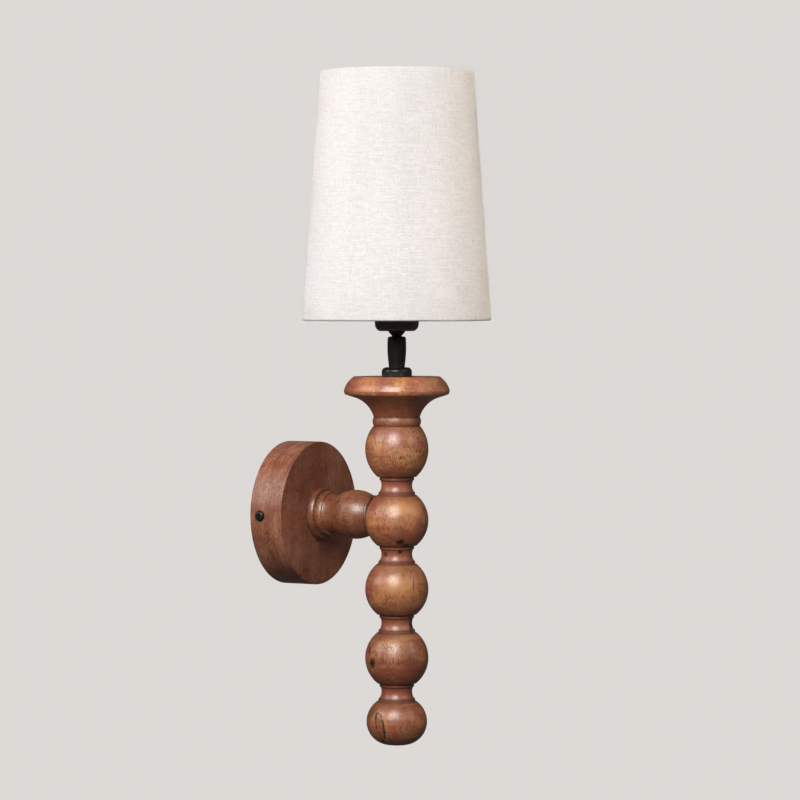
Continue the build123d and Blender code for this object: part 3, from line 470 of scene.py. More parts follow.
@dataclass(frozen=True)
class TurnedWood:
    """Stained and waxed hardwood, turned on a lathe."""

    name: str
    lathe: Axis
    axis: Point
    turn: Point
    pith: Pair
    seed: Point
    grooves: Grooves
    marks: tuple[Mark, ...] = ()
    fade: Fade | None = None
    scribed: Scribed | None = None
    # Brightness of the piece's colours, which paints the light and shade that falls on the piece: below 1 it
    # is painted as in shade.
    light: float = 1.0
    golden: float = 0.58
    ruddy: float = 0.62
    wax: float = 1.0
    ring_pitch: float = 0.0050
    pale: Colour = (0.61, 0.245, 0.112)
    middle: Colour = (0.42, 0.142, 0.060)
    deep: Colour = (0.19, 0.052, 0.022)
    gold: Colour = (0.665, 0.309, 0.097)
    red: Colour = (0.33, 0.078, 0.040)
    pore: Colour = (0.068, 0.019, 0.008)
    knot: Colour = (0.012, 0.008, 0.007)
    straw: Colour = (0.78, 0.50, 0.28)
    grain: Grain = Grain()
    marking: Marking = Marking()
    polish: Polish = Polish()

    def material(self) -> bpy.types.Material:
        """Builds the finish.

        Returns:
            The material, with growth rings round the pith, fibres along the piece and turning lines round it.
        """
        s, grain, polish = Surface(self.name), self.grain, self.polish
        places = self._places(s)
        seeded = places.seeded
        fibre = s.noise(seeded, grain.fibre)
        crowd = 1.0 - grain.crowd.share + grain.crowd.share * s.patches(seeded, grain.crowd)
        pores = s.patches(seeded, grain.pores) * crowd
        dashes = s.patches(seeded, grain.dashes) * s.patches(seeded, grain.dashed)
        down = self._down(s, places.level)
        corner = self._corner(s, down)
        # Dark line at each corner of the profile: stain, with painted shade in the crevice.
        stain_and_shade = s.fall(corner, 0.0, self.grooves.half_width)
        layers = [
            # Painted shade: wood darkened round each corner of the profile.
            (s.fall(corner, 0.0, self.grooves.shade_halo) * grain.shade_halo, self.deep),
            (pores * grain.pores.share, self.pore),
            (dashes * grain.dashes.share, self.straw),
        ]
        # Painted shade: darker, redder wood in the profile's hollow.
        if self.grooves.hollow:
            layers.append((self._hollow(s, down) * grain.hollow, self.red))
        # Stain and painted shade along each corner.
        layers.append((stain_and_shade * grain.stain_and_shade, self.pore))
        # Painted highlight along the edge of a scribed end.
        if self.scribed:
            layers.append((self._edge_highlight(s, places) * self.scribed.share, self.straw))
        base = self._figure(s, places, fibre)
        for share, colour in layers:
            base = s.mix(share, base, self._in_painted_light(colour))
        base, dark = self._marked(s, places.at, base)
        lathe = s.noise(s.join(Z=places.level), grain.lathe)
        height = polish.fibre_height * fibre + polish.lathe_height * lathe
        height = height - polish.pore_depth * pores - polish.mark_depth * dark
        rough = polish.roughness + polish.rough_fibre * fibre + polish.rough_pores * pores
        waxed = s.math("MAXIMUM", 1.0 - polish.bare * pores - polish.bare * dark, polish.least_wax)
        return s.close(
            Base_Color=base,
            Roughness=rough + polish.rough_stain * stain_and_shade,
            Specular_IOR_Level=polish.specular,
            Coat_Weight=self.wax * waxed,
            Coat_Roughness=polish.wax_roughness,
            Normal=s.bump(height, polish.relief, polish.strength),
        )

    def _in_painted_light(self, colour: Colour) -> Colour:
        """Scales a colour by the piece's brightness, which paints the light and shade that falls on the
        piece.
        """
        return tuple(self.light * part for part in colour)

    def _turned(self, kind: Variation) -> Variation:
        """Lays a variation along the piece's own lathe."""
        wide, deep, tall = kind.scale
        return replace(kind, scale=(wide, tall, deep)) if self.lathe is Axis.OUT else kind

    def _places(self, s: Surface) -> Places:
        """Turns and moves the coordinates to the piece's axis.

        Args:
            s: Tree of the finish.

        Returns:
            The coordinates.
        """
        own = s.place()
        moved = Euler(self.turn).to_matrix() @ Vector(self.axis)
        feeds = {"Vector": own, "Location": tuple(-moved), "Rotation": self.turn}
        at = s.node("ShaderNodeMapping", {"vector_type": "POINT"}, feeds)
        return Places(own, at, s.vector("ADD", at, self.seed), s.split(own).pick(self.lathe.value))

    def _figure(self, s: Surface, places: Places, fibre: Signal) -> Signal:
        """Colours the bare wood.

        Args:
            s: Tree of the finish.
            places: Coordinates of the piece.
            fibre: Fine variation along the fibres.

        Returns:
            The colour with its rings, turning bands, and golden and red patches.
        """
        grain = self.grain
        round_lathe = s.vector("ADD", places.own, self.seed)
        tone = grain.fibre.share * fibre - grain.darker - grain.rings * self._late(s, places)
        for kind in (grain.cloud, grain.streak, grain.mottle):
            tone = tone + kind.share * s.noise(places.seeded, kind)
        for kind in (grain.band, grain.line):
            tone = tone + kind.share * s.noise(round_lathe, self._turned(kind))
        if self.fade:
            tone = tone - self.fade.share * s.fall(places.level, self.fade.dark, self.fade.light)
        colours = (self.deep, self.middle, self.pale)
        base = s.ramp(tone, [(place, self._in_painted_light(colour)) for place, colour in zip(grain.tones, colours)])
        hue = s.noise(s.vector("ADD", places.seeded, grain.hue_seed), grain.hue)
        base = s.mix(s.smooth(hue, *grain.gold_steps) * self.golden, base, self._in_painted_light(self.gold))
        return s.mix(s.fall(hue, *grain.red_steps) * self.ruddy, base, self._in_painted_light(self.red))

    def _late(self, s: Surface, places: Places) -> Signal:
        """Draws the growth rings.

        Args:
            s: Tree of the finish.
            places: Coordinates of the piece.

        Returns:
            How far each place is into a ring's dark late wood, from 0 to 1.
        """
        grain = self.grain
        drift = s.vector("MULTIPLY", s.wander(places.seeded, grain.drift), grain.ring_drift)
        parts = s.split(s.vector("ADD", places.at, drift))
        off_x = parts.pick("X") - self.pith[0]
        off_y = parts.pick("Y") - self.pith[1]
        ring = s.math("FRACT", s.math("SQRT", off_x * off_x + off_y * off_y) / self.ring_pitch)
        return s.smooth(ring, grain.ring_starts, grain.ring_full) * s.fall(ring, grain.ring_full, 1.0)

    def _down(self, s: Surface, level: Signal) -> Signal:
        """Measures down from the top of the profile, or of each repeat of it.

        Args:
            s: Tree of the finish.
            level: Place along the piece.

        Returns:
            The length below the top.
        """
        down = self.grooves.top - level
        if self.grooves.pitch:
            down = s.math("FRACT", down / self.grooves.pitch) * self.grooves.pitch
        return down

    def _corner(self, s: Surface, down: Signal) -> Signal:
        """Measures how far the nearest corner of the profile is.

        Args:
            s: Tree of the finish.
            down: Length below the top of the profile.

        Returns:
            The length along the piece to the corner.
        """
        nearest = abs(down - self.grooves.below[0])
        for below in self.grooves.below[1:]:
            nearest = s.math("MINIMUM", nearest, abs(down - below))
        return nearest

    def _hollow(self, s: Surface, down: Signal) -> Signal:
        """Finds the hollow of the profile, where the wood is painted darker and redder as shade.

        Args:
            s: Tree of the finish.
            down: Length below the top of the profile.

        Returns:
            1 in the hollow and 0 outside it.
        """
        start, end = self.grooves.hollow
        soft = self.grooves.half_width
        return s.smooth(down, start, start + soft) * s.fall(down, end - soft, end)

    def _edge_highlight(self, s: Surface, places: Places) -> Signal:
        """Paints a highlight along the edge of a scribed end.

        Args:
            s: Tree of the finish.
            places: Coordinates of the piece.

        Returns:
            1 at the edge, unevenly, and 0 away from it.
        """
        off = s.measure("DISTANCE", places.own, self.scribed.centre) - self.scribed.radius
        near = s.fall(off, 0.5 * self.scribed.width, self.scribed.width)
        return near * s.patches(places.seeded, self.grain.highlight_breakup)

    def _marked(self, s: Surface, at: Signal, base: Signal) -> tuple[Signal, Signal | float]:
        """Lays knots, cracks, flecks and clouds over the wood.

        Args:
            s: Tree of the finish.
            at: Coordinates about the piece's axis.
            base: Colour of the wood.

        Returns:
            The marked colour, and how dark the marks are.
        """
        marking = self.marking
        dark: Signal | float = 0.0
        if not self.marks:
            return base, dark
        ragged = s.wander(at, marking.ragged)
        for mark in self.marks:
            shares = self._shares(s, at, mark)
            if mark.kind is MarkKind.OUTLINE:
                shares = s.vector("MULTIPLY_ADD", ragged, marking.ragged_line, shares)
                core = s.fall(s.measure("LENGTH", shares), *marking.core_edge) * marking.core
                base = s.mix(core, base, self._in_painted_light(self.deep))
                here = self._outline(s, at, mark, shares) * mark.share
            else:
                shares = s.vector("MULTIPLY_ADD", ragged, marking.ragged_patch, shares)
                far = s.measure("LENGTH", shares)
                if mark.kind is MarkKind.GOLDEN:
                    cloud = s.fall(far, *marking.cloud_edge) * mark.share
                    base = s.mix(cloud, base, self._in_painted_light(self.gold))
                    continue
                inside = s.fall(far, *marking.patch_edge)
                if mark.kind is MarkKind.FLECKED:
                    flecks = inside * self._dashes(s, at) * mark.share
                    base = s.mix(flecks, base, self._in_painted_light(self.straw))
                    continue
                here = inside * mark.share
            base = s.mix(here, base, self.knot)
            dark = here + dark
        return base, dark

    @staticmethod
    def _shares(s: Surface, at: Signal, mark: Mark) -> Signal:
        """Measures from a mark's centre in its own half sizes.

        Args:
            s: Tree of the finish.
            at: Coordinates about the piece's axis.
            mark: The mark.

        Returns:
            A vector that is 1 long at the mark's edge.
        """
        beside = s.vector("SUBTRACT", at, (mark.across, -mark.depth, mark.height))
        if mark.lean:
            beside = s.vector("ADD", beside, s.join(X=s.split(beside).pick("Z") * mark.lean))
        return s.vector("MULTIPLY", beside, mark.scale())

    def _outline(self, s: Surface, at: Signal, mark: Mark, shares: Signal) -> Signal:
        """Draws the line round an outlined knot, which fades on its lower left.

        Args:
            s: Tree of the finish.
            at: Coordinates about the piece's axis.
            mark: The knot.
            shares: Vector from its centre, in its own half sizes.

        Returns:
            1 on the line and 0 off it.
        """
        marking = self.marking
        far = s.measure("LENGTH", shares)
        steep = s.measure("LENGTH", s.vector("MULTIPLY", shares, mark.scale()))
        worn = 1.0 - marking.worn.share + marking.worn.share * s.patches(at, marking.worn)
        edge = abs(far - 1.0) * far / (steep * worn)
        kept = s.smooth(s.measure("DOT_PRODUCT", shares, marking.line_run), *marking.line_ends)
        return s.fall(edge, *marking.line_edge) * kept

    def _dashes(self, s: Surface, at: Signal) -> Signal:
        """Draws broken dashes along the fibres.

        Args:
            s: Tree of the finish.
            at: Coordinates about the piece's axis.

        Returns:
            1 on a dash and 0 between them.
        """
        marking = self.marking
        along = s.measure("DOT_PRODUCT", at, marking.dash_run) * (math.tau / marking.dash_pitch)
        bend = marking.dash_bend.share * s.noise(at, marking.dash_bend)
        comb = s.smooth(s.math("SINE", along + bend), *marking.dash_edge)
        return comb * s.patches(at, marking.dash_kept)


@dataclass(frozen=True)
class Coated:
    """A smooth man-made surface with its own mottling, specks and fine relief."""

    name: str
    tone: Colour
    second: Colour
    roughness: float
    metallic: float = 0.0
    cloud: float = 60.0
    grain: Point = (2600.0, 2600.0, 2600.0)
    relief: float = 0.00003
    speck: Colour = (0.30, 0.29, 0.28)
    specks: float = 0.15
    coat: float = 0.0
    subsurface: float = 0.0
    specular: float = 0.5
    clouds: Variation = Variation((1.0, 1.0, 1.0), 4.0, 0.6, 0.32, 0.70, 0.12)
    grains: Variation = Variation((1.0, 1.0, 1.0), 2.0, 0.55, share=0.10)
    dust: Variation = Variation((1700.0, 1700.0, 1700.0), 1.0, low=0.66, high=0.78)
    smoother: float = 0.10
    coat_roughness: float = 0.18
    glow: Point = (0.004, 0.004, 0.004)

    def material(self) -> bpy.types.Material:
        """Builds the finish.

        Returns:
            The material.
        """
        s = Surface(self.name)
        at = s.place()
        cloud = s.noise(at, replace(self.clouds, scale=(self.cloud,) * 3))
        grain = s.noise(at, replace(self.grains, scale=self.grain))
        mottle = s.smooth(cloud, self.clouds.low, self.clouds.high)
        base = s.mix(mottle, self.tone, self.second)
        base = s.mix(s.patches(at, self.dust) * self.specks, base, self.speck)
        rough = self.roughness - self.smoother + self.clouds.share * cloud + self.grains.share * grain
        return s.close(
            Base_Color=base,
            Roughness=rough,
            Metallic=self.metallic,
            Specular_IOR_Level=self.specular,
            Coat_Weight=self.coat,
            Coat_Roughness=self.coat_roughness,
            Subsurface_Weight=self.subsurface,
            Subsurface_Radius=self.glow,
            Normal=s.bump(grain, self.relief),
        )


@dataclass(frozen=True)
class Striped:
    """Plastic core with a lengthwise stripe."""

    name: str
    tone: Colour
    stripe: Colour
    stripes: float = 210.0
    edge: float = 0.1
    roughness: float = 0.38
    grain: Variation = Variation((1800.0, 1800.0, 1800.0), share=0.12)
    relief: float = 0.00002

    def material(self) -> bpy.types.Material:
        """Builds the finish.

        Returns:
            The material.
        """
        s = Surface(self.name)
        at = s.place()
        parts = s.split(at)
        wave = s.math("SINE", (parts.pick("X") + parts.pick("Z")) * (self.stripes * math.tau))
        grain = s.noise(at, self.grain)
        return s.close(
            Base_Color=s.mix(s.smooth(wave, -self.edge, self.edge), self.tone, self.stripe),
            Roughness=self.roughness + self.grain.share * grain,
            Normal=s.bump(grain, self.relief),
        )


@dataclass(frozen=True)
class Yarn:
    """Threads of one direction: their seed, share in the ground's paleness, and slubs."""

    seed: Point
    pale: float
    slub_low: float
    slub_high: float
    slub_share: float
    slub_height: float


@dataclass(frozen=True)
class Linen:
    """Plain-woven natural linen with slubs, bonded to a stiff liner."""

    name: str
    ground: Colour = (0.758, 0.733, 0.722)
    light: Colour = (0.912, 0.891, 0.883)
    oat: Colour = (0.535, 0.475, 0.425)
    thread: float = 0.00072
    slub_scale: float = 45.0
    warp: Yarn = Yarn((0.0, 0.0, 0.0), 0.22, 0.66, 0.78, 0.24, 0.30)
    weft: Yarn = Yarn((3.7, 1.9, 0.0), 0.34, 0.64, 0.77, 0.30, 0.40)
    yarn: Variation = Variation((1.0, 1.0, 1.0), 2.0, 0.6)
    grain: Variation = Variation((190.0, 380.0, 1.0), 3.0, 0.95, share=0.44)
    pale_steps: Pair = (0.40, 0.60)
    fleck: Variation = Variation((520.0, 880.0, 1.0), 2.0, 0.7, 0.58, 0.70, 0.52)
    fleck_seed: Point = (1.3, 2.6, 0.0)
    cloud: Variation = Variation((24.0, 24.0, 1.0), 3.0, share=0.10)
    gaps: float = 0.16
    weave_height: float = 0.55
    relief: float = 0.00022
    strength: float = 0.9
    roughness: float = 0.84
    specular: float = 0.22
    sheen: float = 0.12
    sheen_roughness: float = 0.55

    def material(self) -> bpy.types.Material:
        """Builds the finish.

        Returns:
            The material, woven along the cover's own map of widths and heights in metres.
        """
        s = Surface(self.name)
        at = s.node("ShaderNodeTexCoord", out="UV")
        fine = 1.0 / self.thread
        weave = self._weave(s, at, fine)
        pale = self.grain.share * s.noise(at, self.grain)
        height = self.weave_height * weave
        layers = []
        for yarn, scale in (
            (self.warp, (fine, self.slub_scale, 1.0)),
            (self.weft, (self.slub_scale, fine, 1.0)),
        ):
            drawn = s.noise(s.vector("ADD", at, yarn.seed), replace(self.yarn, scale=scale))
            slub = s.smooth(drawn, yarn.slub_low, yarn.slub_high)
            pale = pale + yarn.pale * drawn
            height = height + yarn.slub_height * slub
            layers.append(slub * yarn.slub_share)
        fleck = s.patches(s.vector("ADD", at, self.fleck_seed), self.fleck)
        base = s.mix(s.smooth(pale, *self.pale_steps), self.ground, self.light)
        for layer in (*layers, fleck * self.fleck.share, (1.0 - weave) * self.gaps):
            base = s.mix(layer, base, self.oat)
        return s.close(
            Base_Color=base,
            Roughness=self.roughness + self.cloud.share * s.noise(at, self.cloud),
            Specular_IOR_Level=self.specular,
            Sheen_Weight=self.sheen,
            Sheen_Roughness=self.sheen_roughness,
            Normal=s.bump(height, self.relief, self.strength),
        )

    @staticmethod
    def _weave(s: Surface, at: Signal, fine: float) -> Signal:
        """Lays warp and weft over each other in turn.

        Args:
            s: Tree of the finish.
            at: The cover's own map.
            fine: Threads to a metre.

        Returns:
            The height of the threads, from 0 to 1.
        """
        parts = s.split(at)
        warp, weft = (abs(s.math("SINE", parts.pick(way) * (math.pi * fine))) for way in "XY")
        over = s.node("ShaderNodeTexChecker", {}, {"Vector": at, "Scale": fine}, 1)
        return s.node("ShaderNodeMix", {"data_type": "FLOAT"}, {0: over, 2: warp, 3: weft})


class Form(NodeMaker):
    """A geometry tree that makes one shape from a drawn line or a surface and named sizes."""

    def __init__(self, name: str, sizes: Mapping[str, float | int]) -> None:
        """Makes the tree and its named inputs.

        Args:
            name: Name of the tree.
            sizes: Named inputs with their values.
        """
        super().__init__(bpy.data.node_groups.new(name, "GeometryNodeTree"))
        face = self.tree.interface
        face.new_socket("Shape", in_out="OUTPUT", socket_type="NodeSocketGeometry")
        face.new_socket("Start", in_out="INPUT", socket_type="NodeSocketGeometry")
        self.values: dict[str, float | int] = {}
        for label, value in sizes.items():
            kind = "NodeSocketInt" if isinstance(value, int) else "NodeSocketFloat"
            made = face.new_socket(label, in_out="INPUT", socket_type=kind)
            self.values[made.identifier] = value
        self.given = self.node("NodeGroupInput")

    def size(self, label: str) -> Signal:
        """Gives a named input."""
        return self.given.pick(label)

    def between(self, value: Signal, low: str, high: str) -> Signal:
        """Gives 1 where a value lies between two named inputs, and 0 elsewhere."""
        above = self.math("GREATER_THAN", value, self.size(low))
        return above * self.math("LESS_THAN", value, self.size(high))

    def close(self, shape: Signal, material: bpy.types.Material) -> None:
        """Ends the tree in plain geometry with a finish.

        Args:
            shape: Geometry that the tree made.
            material: Its finish.
        """
        plain = self.node("GeometryNodeRealizeInstances", {}, {0: shape})
        feeds = {"Geometry": plain, "Material": material}
        painted = self.node("GeometryNodeSetMaterial", {}, feeds)
        self.node("NodeGroupOutput", {}, {0: painted})

    def make(self, name: str, start: bpy.types.Mesh) -> bpy.types.Object:
        """Runs the tree once and keeps its result as a plain mesh.

        Args:
            name: Name of the piece.
            start: Mesh that the tree starts from.

        Returns:
            The piece, at the origin.
        """
        piece = bpy.data.objects.new(name, start)
        bpy.context.scene.collection.objects.link(piece)
        modifier = piece.modifiers.new("Form", "NODES")
        modifier.node_group = self.tree
        for identifier, value in self.values.items():
            modifier[identifier] = value
        graph = bpy.context.evaluated_depsgraph_get()
        mesh = bpy.data.meshes.new_from_object(piece.evaluated_get(graph))
        piece.modifiers.clear()
        piece.data = mesh
        mesh.name = name
        mesh.shade_smooth()
        return piece


@dataclass(frozen=True)
class Spin:
    """A closed section turned round the column's axis, with ribs or a lapped seam where it has them."""

    name: str
    section: tuple[Pair, ...]
    around: int
    girth: float
    ribs: int = 0
    rib_depth: float = 0.0
    rib_low: float = 0.0
    rib_high: float = 0.0
    rib_radius: float = 1.0
    lap: float = 0.0
    lap_step: float = 0.0
    lap_from: float = 0.0
    lap_to: float = 0.0
    lap_starts: float = 0.001
    lap_fall: Pair = (0.5, 1.0)
    merge_within: float = 1e-6
    crease: float = math.radians(38)

    def build(self, material: bpy.types.Material) -> bpy.types.Object:
        """Turns the section.

        Args:
            material: Finish of the piece.

        Returns:
            The piece, with a map of its widths and heights in metres.
        """
        form = self._form()
        line = form.given.pick("Start")
        count = form.node("GeometryNodeAttributeDomainSize", {}, {0: line}, "Point Count")
        grid = form.node(
            "GeometryNodeMeshGrid",
            {},
            {"Size X": 1.0, "Size Y": 1.0, "Vertices X": form.size("Around") + 1, "Vertices Y": count},
        )
        spot = form.split(form.node("GeometryNodeInputPosition"))
        turned = spot.pick("X") + 0.5
        row = form.math("ROUND", (spot.pick("Y") + 0.5) * (count - 1.0))
        sampled = form.node(
            "GeometryNodeSampleIndex",
            {"data_type": "FLOAT_VECTOR", "domain": "POINT"},
            {"Geometry": line, "Value": form.node("GeometryNodeInputPosition"), "Index": row},
        )
        drawn = form.split(sampled)
        wide = self._radius(form, turned, drawn)
        angle = turned * math.tau + QUARTER
        put = form.join(
            X=wide * form.math("COSINE", angle),
            Y=wide * form.math("SINE", angle) - form.size("Reach"),
            Z=drawn.pick("Z"),
        )
        chart = form.join(X=turned * form.size("Girth"), Y=drawn.pick("Y"))
        mapped = form.node(
            "GeometryNodeStoreNamedAttribute",
            {"data_type": "FLOAT2", "domain": "CORNER"},
            {"Geometry": grid, "Name": "UVMap", "Value": chart},
        )
        shaped = form.node("GeometryNodeSetPosition", {}, {"Geometry": mapped, "Position": put})
        feeds = {"Geometry": shaped, "Distance": self.merge_within}
        form.close(form.node("GeometryNodeMergeByDistance", {}, feeds), material)
        piece = form.make(self.name, self._line())
        piece.data.set_sharp_from_angle(angle=self.crease)
        return piece

    def _form(self) -> Form:
        """Starts the tree.

        Returns:
            The tree with its named sizes.
        """
        sizes = {
            "Around": self.around,
            "Girth": self.girth,
            "Reach": REACH,
            "Ribs": self.ribs,
            "Rib Depth": self.rib_depth,
            "Rib Low": self.rib_low,
            "Rib High": self.rib_high,
            "Rib Radius": self.rib_radius,
            "Lap": self.lap,
            "Lap Step": self.lap_step,
            "Lap From": self.lap_from,
            "Lap To": self.lap_to,
        }
        return Form(self.name + "_form", sizes)

    def _radius(self, form: Form, turned: Signal, drawn: Signal) -> Signal:
        """Cuts the ribs into the section's radius, and raises it at the lapped seam.

        Args:
            form: Tree of the piece.
            turned: Share of the turn, from 0 to 1.
            drawn: The section's radius, run and height as outputs X, Y and Z.

        Returns:
            The radius.
        """
        radius, along, level = (drawn.pick(part) for part in "XYZ")
        outside = form.math("GREATER_THAN", radius, form.size("Rib Radius"))
        on_rib = form.between(level, "Rib Low", "Rib High") * outside
        rib = abs(form.math("SINE", turned * form.size("Ribs") * math.pi))
        lapped = turned * form.size("Girth") / form.size("Lap")
        seam = form.math("GREATER_THAN", lapped, self.lap_starts) * form.fall(lapped, *self.lap_fall)
        on_lap = seam * form.between(along, "Lap From", "Lap To")
        cut = (1.0 - rib) * on_rib * form.size("Rib Depth")
        return radius - cut + on_lap * form.size("Lap Step")

    def _line(self) -> bpy.types.Mesh:
        """Draws the section, closed, with its length so far as Y.

        Returns:
            The line, with radii as X and heights as Z.
        """
        points = [*self.section, self.section[0]]
        run = 0.0
        drawn = []
        for index, (radius, level) in enumerate(points):
            if index:
                run += math.dist(points[index - 1], points[index])
            drawn.append((radius, run, level))
        mesh = bpy.data.meshes.new(self.name + "_line")
        mesh.from_pydata(drawn, [(i, i + 1) for i in range(len(drawn) - 1)], [])
        return mesh


def arc(centre: Pair, radius: float, start: float, end: float, steps: int) -> list[Pair]:
    """Gives points on an arc in a section.

    Args:
        centre: Radius and height of the arc's centre.
        radius: Its radius.
        start: Angle of its first point, in degrees.
        end: Angle of its last point, in degrees.
        steps: Parts that it is cut into.

    Returns:
        Radii and heights along the arc.
    """
    angles = [math.radians(start + (end - start) * i / steps) for i in range(steps + 1)]
    return [(centre[0] + radius * math.cos(a), centre[1] + radius * math.sin(a)) for a in angles]


def towards(first: Pair, last: Pair, share: float) -> Pair:
    """Gives the point at a share of the way from one point of a section to another."""
    return (first[0] + (last[0] - first[0]) * share, first[1] + (last[1] - first[1]) * share)


def straight(first: Pair, last: Pair, steps: int) -> list[Pair]:
    """Gives the points that cut a straight line of a section into equal parts, without its ends."""
    return [towards(first, last, i / steps) for i in range(1, steps)]


def rounded(points: Sequence[Pair], cut: float, steps: int) -> list[Pair]:
    """Rounds the corners of an open line.

    Args:
        points: Corners of the line.
        cut: Length that is taken off each side of a corner.
        steps: Parts of each rounded corner.

    Returns:
        The line with rounded corners.
    """
    line = [points[0]]
    for before, corner, after in zip(points, points[1:], points[2:]):
        start, end = (
            towards(corner, other, min(0.5, cut / math.dist(corner, other))) for other in (before, after)
        )
        for step in range(steps + 1):
            t = step / steps
            pulls = (((1 - t) ** 2, start), (2 * t * (1 - t), corner), (t**2, end))
            line.append(tuple(sum(pull * spot[i] for pull, spot in pulls) for i in range(2)))
    line.append(points[-1])
    return line


def thickened(line: Sequence[Pair], thickness: float) -> list[Pair]:
    """Gives an open line a thickness.

    Args:
        line: Points of the line.
        thickness: Full thickness.

    Returns:
        One side of it, and then the other side back.
    """
    sides: tuple[list[Pair], list[Pair]] = ([], [])
    for index, point in enumerate(line):
        before = line[max(index - 1, 0)]
        after = line[min(index + 1, len(line) - 1)]
        run = math.dist(before, after)
        across = ((after[1] - before[1]) / run, (before[0] - after[0]) / run)
        for side, half in zip(sides, (0.5 * thickness, -0.5 * thickness)):
            side.append((point[0] + half * across[0], point[1] + half * across[1]))
    return [*sides[0], *reversed(sides[1])]


def dress(node: str, material: bpy.types.Material) -> None:
    """Gives a piece of the construction its finish.

    Args:
        node: Name of the piece.
        material: Finish.
    """
    piece = bpy.data.objects[node]
    piece.data.materials.clear()
    piece.data.materials.append(material)
    log.info("%s in %s", node, material.name)


@dataclass(frozen=True)
class Woodwork:
    """Back plate, arm, column and cup."""

    pitch: float = 0.0552
    face: float = 0.029
    cup_middle: float = 0.095
    bead: float = 0.02535
    pixel: float = 0.0008
    axis_pixel: float = 396.8
    arm_pixel: float = 516.0
    upright: Point = (0.0, 0.0, -VIEW_TURN)

    def dress(self) -> None:
        """Gives each wooden piece its own cut of wood."""
        woods = {"column": self._column(), "cup": self._cup(), "arm": self._arm(), "backplate": self._plate()}
        for node, wood in woods.items():
            dress(node, wood.material())

    def _seen(self, right: float, down: float, wide: float, tall: float, **extra: Any) -> Mark:
        """Places a mark by its centre and size in the photograph.

        Args:
            right: Its centre across the photograph, in pixels.
            down: Its centre down the photograph, in pixels.
            wide: Its width in pixels.
            tall: Its height in pixels.
            **extra: Other fields of the mark.

        Returns:
            The mark in metres.
        """
        return Mark(
            (right - self.axis_pixel) * self.pixel,
            (self.arm_pixel - down) * self.pixel,
            wide / 2 * self.pixel,
            tall / 2 * self.pixel,
            **extra,
        )

    def _column_marks(self) -> tuple[Mark, ...]:
        """Lists the knots, cracks, flecks and golden clouds of the column.

        Returns:
            The marks, in the order in which they are laid over each other.
        """
        return (
            self._seen(402.0, 454.0, 44.0, 18.0, depth=0.022, kind=MarkKind.FLECKED, share=0.70),
            self._seen(402.0, 507.0, 44.0, 20.0, depth=0.022, kind=MarkKind.GOLDEN, share=0.7),
            self._seen(400.0, 584.0, 48.0, 26.0, depth=0.024, kind=MarkKind.GOLDEN, share=0.7),
            self._seen(400.0, 541.0, 9.0, 7.0),
            self._seen(405.5, 544.5, 9.0, 6.0, share=0.85),
            self._seen(400.0, 551.5, 6.0, 4.0, depth=0.013),
            self._seen(385.5, 553.5, 5.0, 6.0, depth=0.012, share=0.7),
            self._seen(413.5, 584.0, 1.6, 14.0, share=0.75),
            self._seen(421.0, 590.0, 6.0, 2.0, depth=0.012, share=0.5),
            self._seen(411.0, 625.0, 4.0, 20.0, depth=0.010, share=0.75),
            self._seen(369.5, 650.0, 2.2, 13.0, depth=0.010, share=0.7),
            self._seen(372.5, 662.0, 7.0, 12.0, depth=0.012),
            self._seen(399.0, 661.5, 1.4, 6.0, share=0.6),
            self._seen(380.1, 727.0, 8.0, 32.0, kind=MarkKind.OUTLINE, share=0.92, lean=0.13),
        )

    def _column(self) -> TurnedWood:
        """Describes the column's wood.

        Returns:
            The finish, with a profile that repeats at each bead.
        """
        corners = (0.0, 0.0406, 0.0432, 0.0530, self.pitch)
        return TurnedWood(
            "turned_wood_column",
            Axis.UP,
            axis=(0.0, -REACH, 0.0),
            turn=self.upright,
            pith=(-0.012, 0.016),
            seed=(0.31, 0.17, 0.05),
            grooves=Grooves(COLUMN_TOP, corners, self.pitch, hollow=(0.0400, 0.0560)),
            marks=self._column_marks(),
            fade=Fade(dark=-0.115, light=-0.075, share=0.08),
            # Painted shade: the column's colours a little darker.
            light=0.96,
        )

    def _cup(self) -> TurnedWood:
        """Describes the cup's wood.

        Returns:
            The finish, with fibres that lie across the view.
        """
        lying = Euler((0.0, -QUARTER, 0.0)).to_matrix() @ Euler(self.upright).to_matrix()
        return TurnedWood(
            "turned_wood_cup",
            Axis.UP,
            axis=(0.0, -REACH, self.cup_middle),
            turn=tuple(lying.to_euler()),
            pith=(0.030, 0.052),
            seed=(1.13, 0.61, 0.42),
            grooves=Grooves(CUP_TOP, (0.0396, 0.0324), hollow=(0.0150, 0.0324)),
            # Painted light: the cup's colours lighter, as where more light falls.
            light=1.06,
            golden=0.75,
        )

    def _arm(self) -> TurnedWood:
        """Describes the arm's wood.

        Returns:
            The finish, with a highlight painted where the arm meets the bead.
        """
        return TurnedWood(
            "turned_wood_arm",
            Axis.OUT,
            axis=(0.0, 0.0, 0.0),
            turn=(QUARTER, 0.0, 0.0),
            pith=(0.014, -0.010),
            seed=(2.21, 1.33, 0.87),
            grooves=Grooves(-self.face, (0.0, 0.0516)),
            # Painted highlight along the arm's end, where it meets the bead.
            scribed=Scribed((0.0, -REACH, 0.0), self.bead, width=0.0020, share=0.30),
            # Painted shade: the arm's colours darker.
            light=0.66,
            golden=0.15,
        )

    def _plate(self) -> TurnedWood:
        """Describes the back plate's wood.

        Returns:
            The finish, plain and less waxed, with no groove on the piece, and painted darker as in shade.
        """
        return TurnedWood(
            "turned_wood_plate",
            Axis.OUT,
            axis=(0.0, 0.0, 0.0),
            turn=(0.0, 0.0, 0.0),
            pith=(0.012, 0.075),
            seed=(3.37, 2.41, 1.29),
            grooves=Grooves(1.0, (0.0,)),
            # Painted shade: the plate's colours darker.
            light=0.71,
            golden=0.08,
            wax=0.50,
            ring_pitch=0.0085,
            pale=(0.60, 0.252, 0.143),
            middle=(0.40, 0.139, 0.074),
            deep=(0.180, 0.053, 0.028),
        )


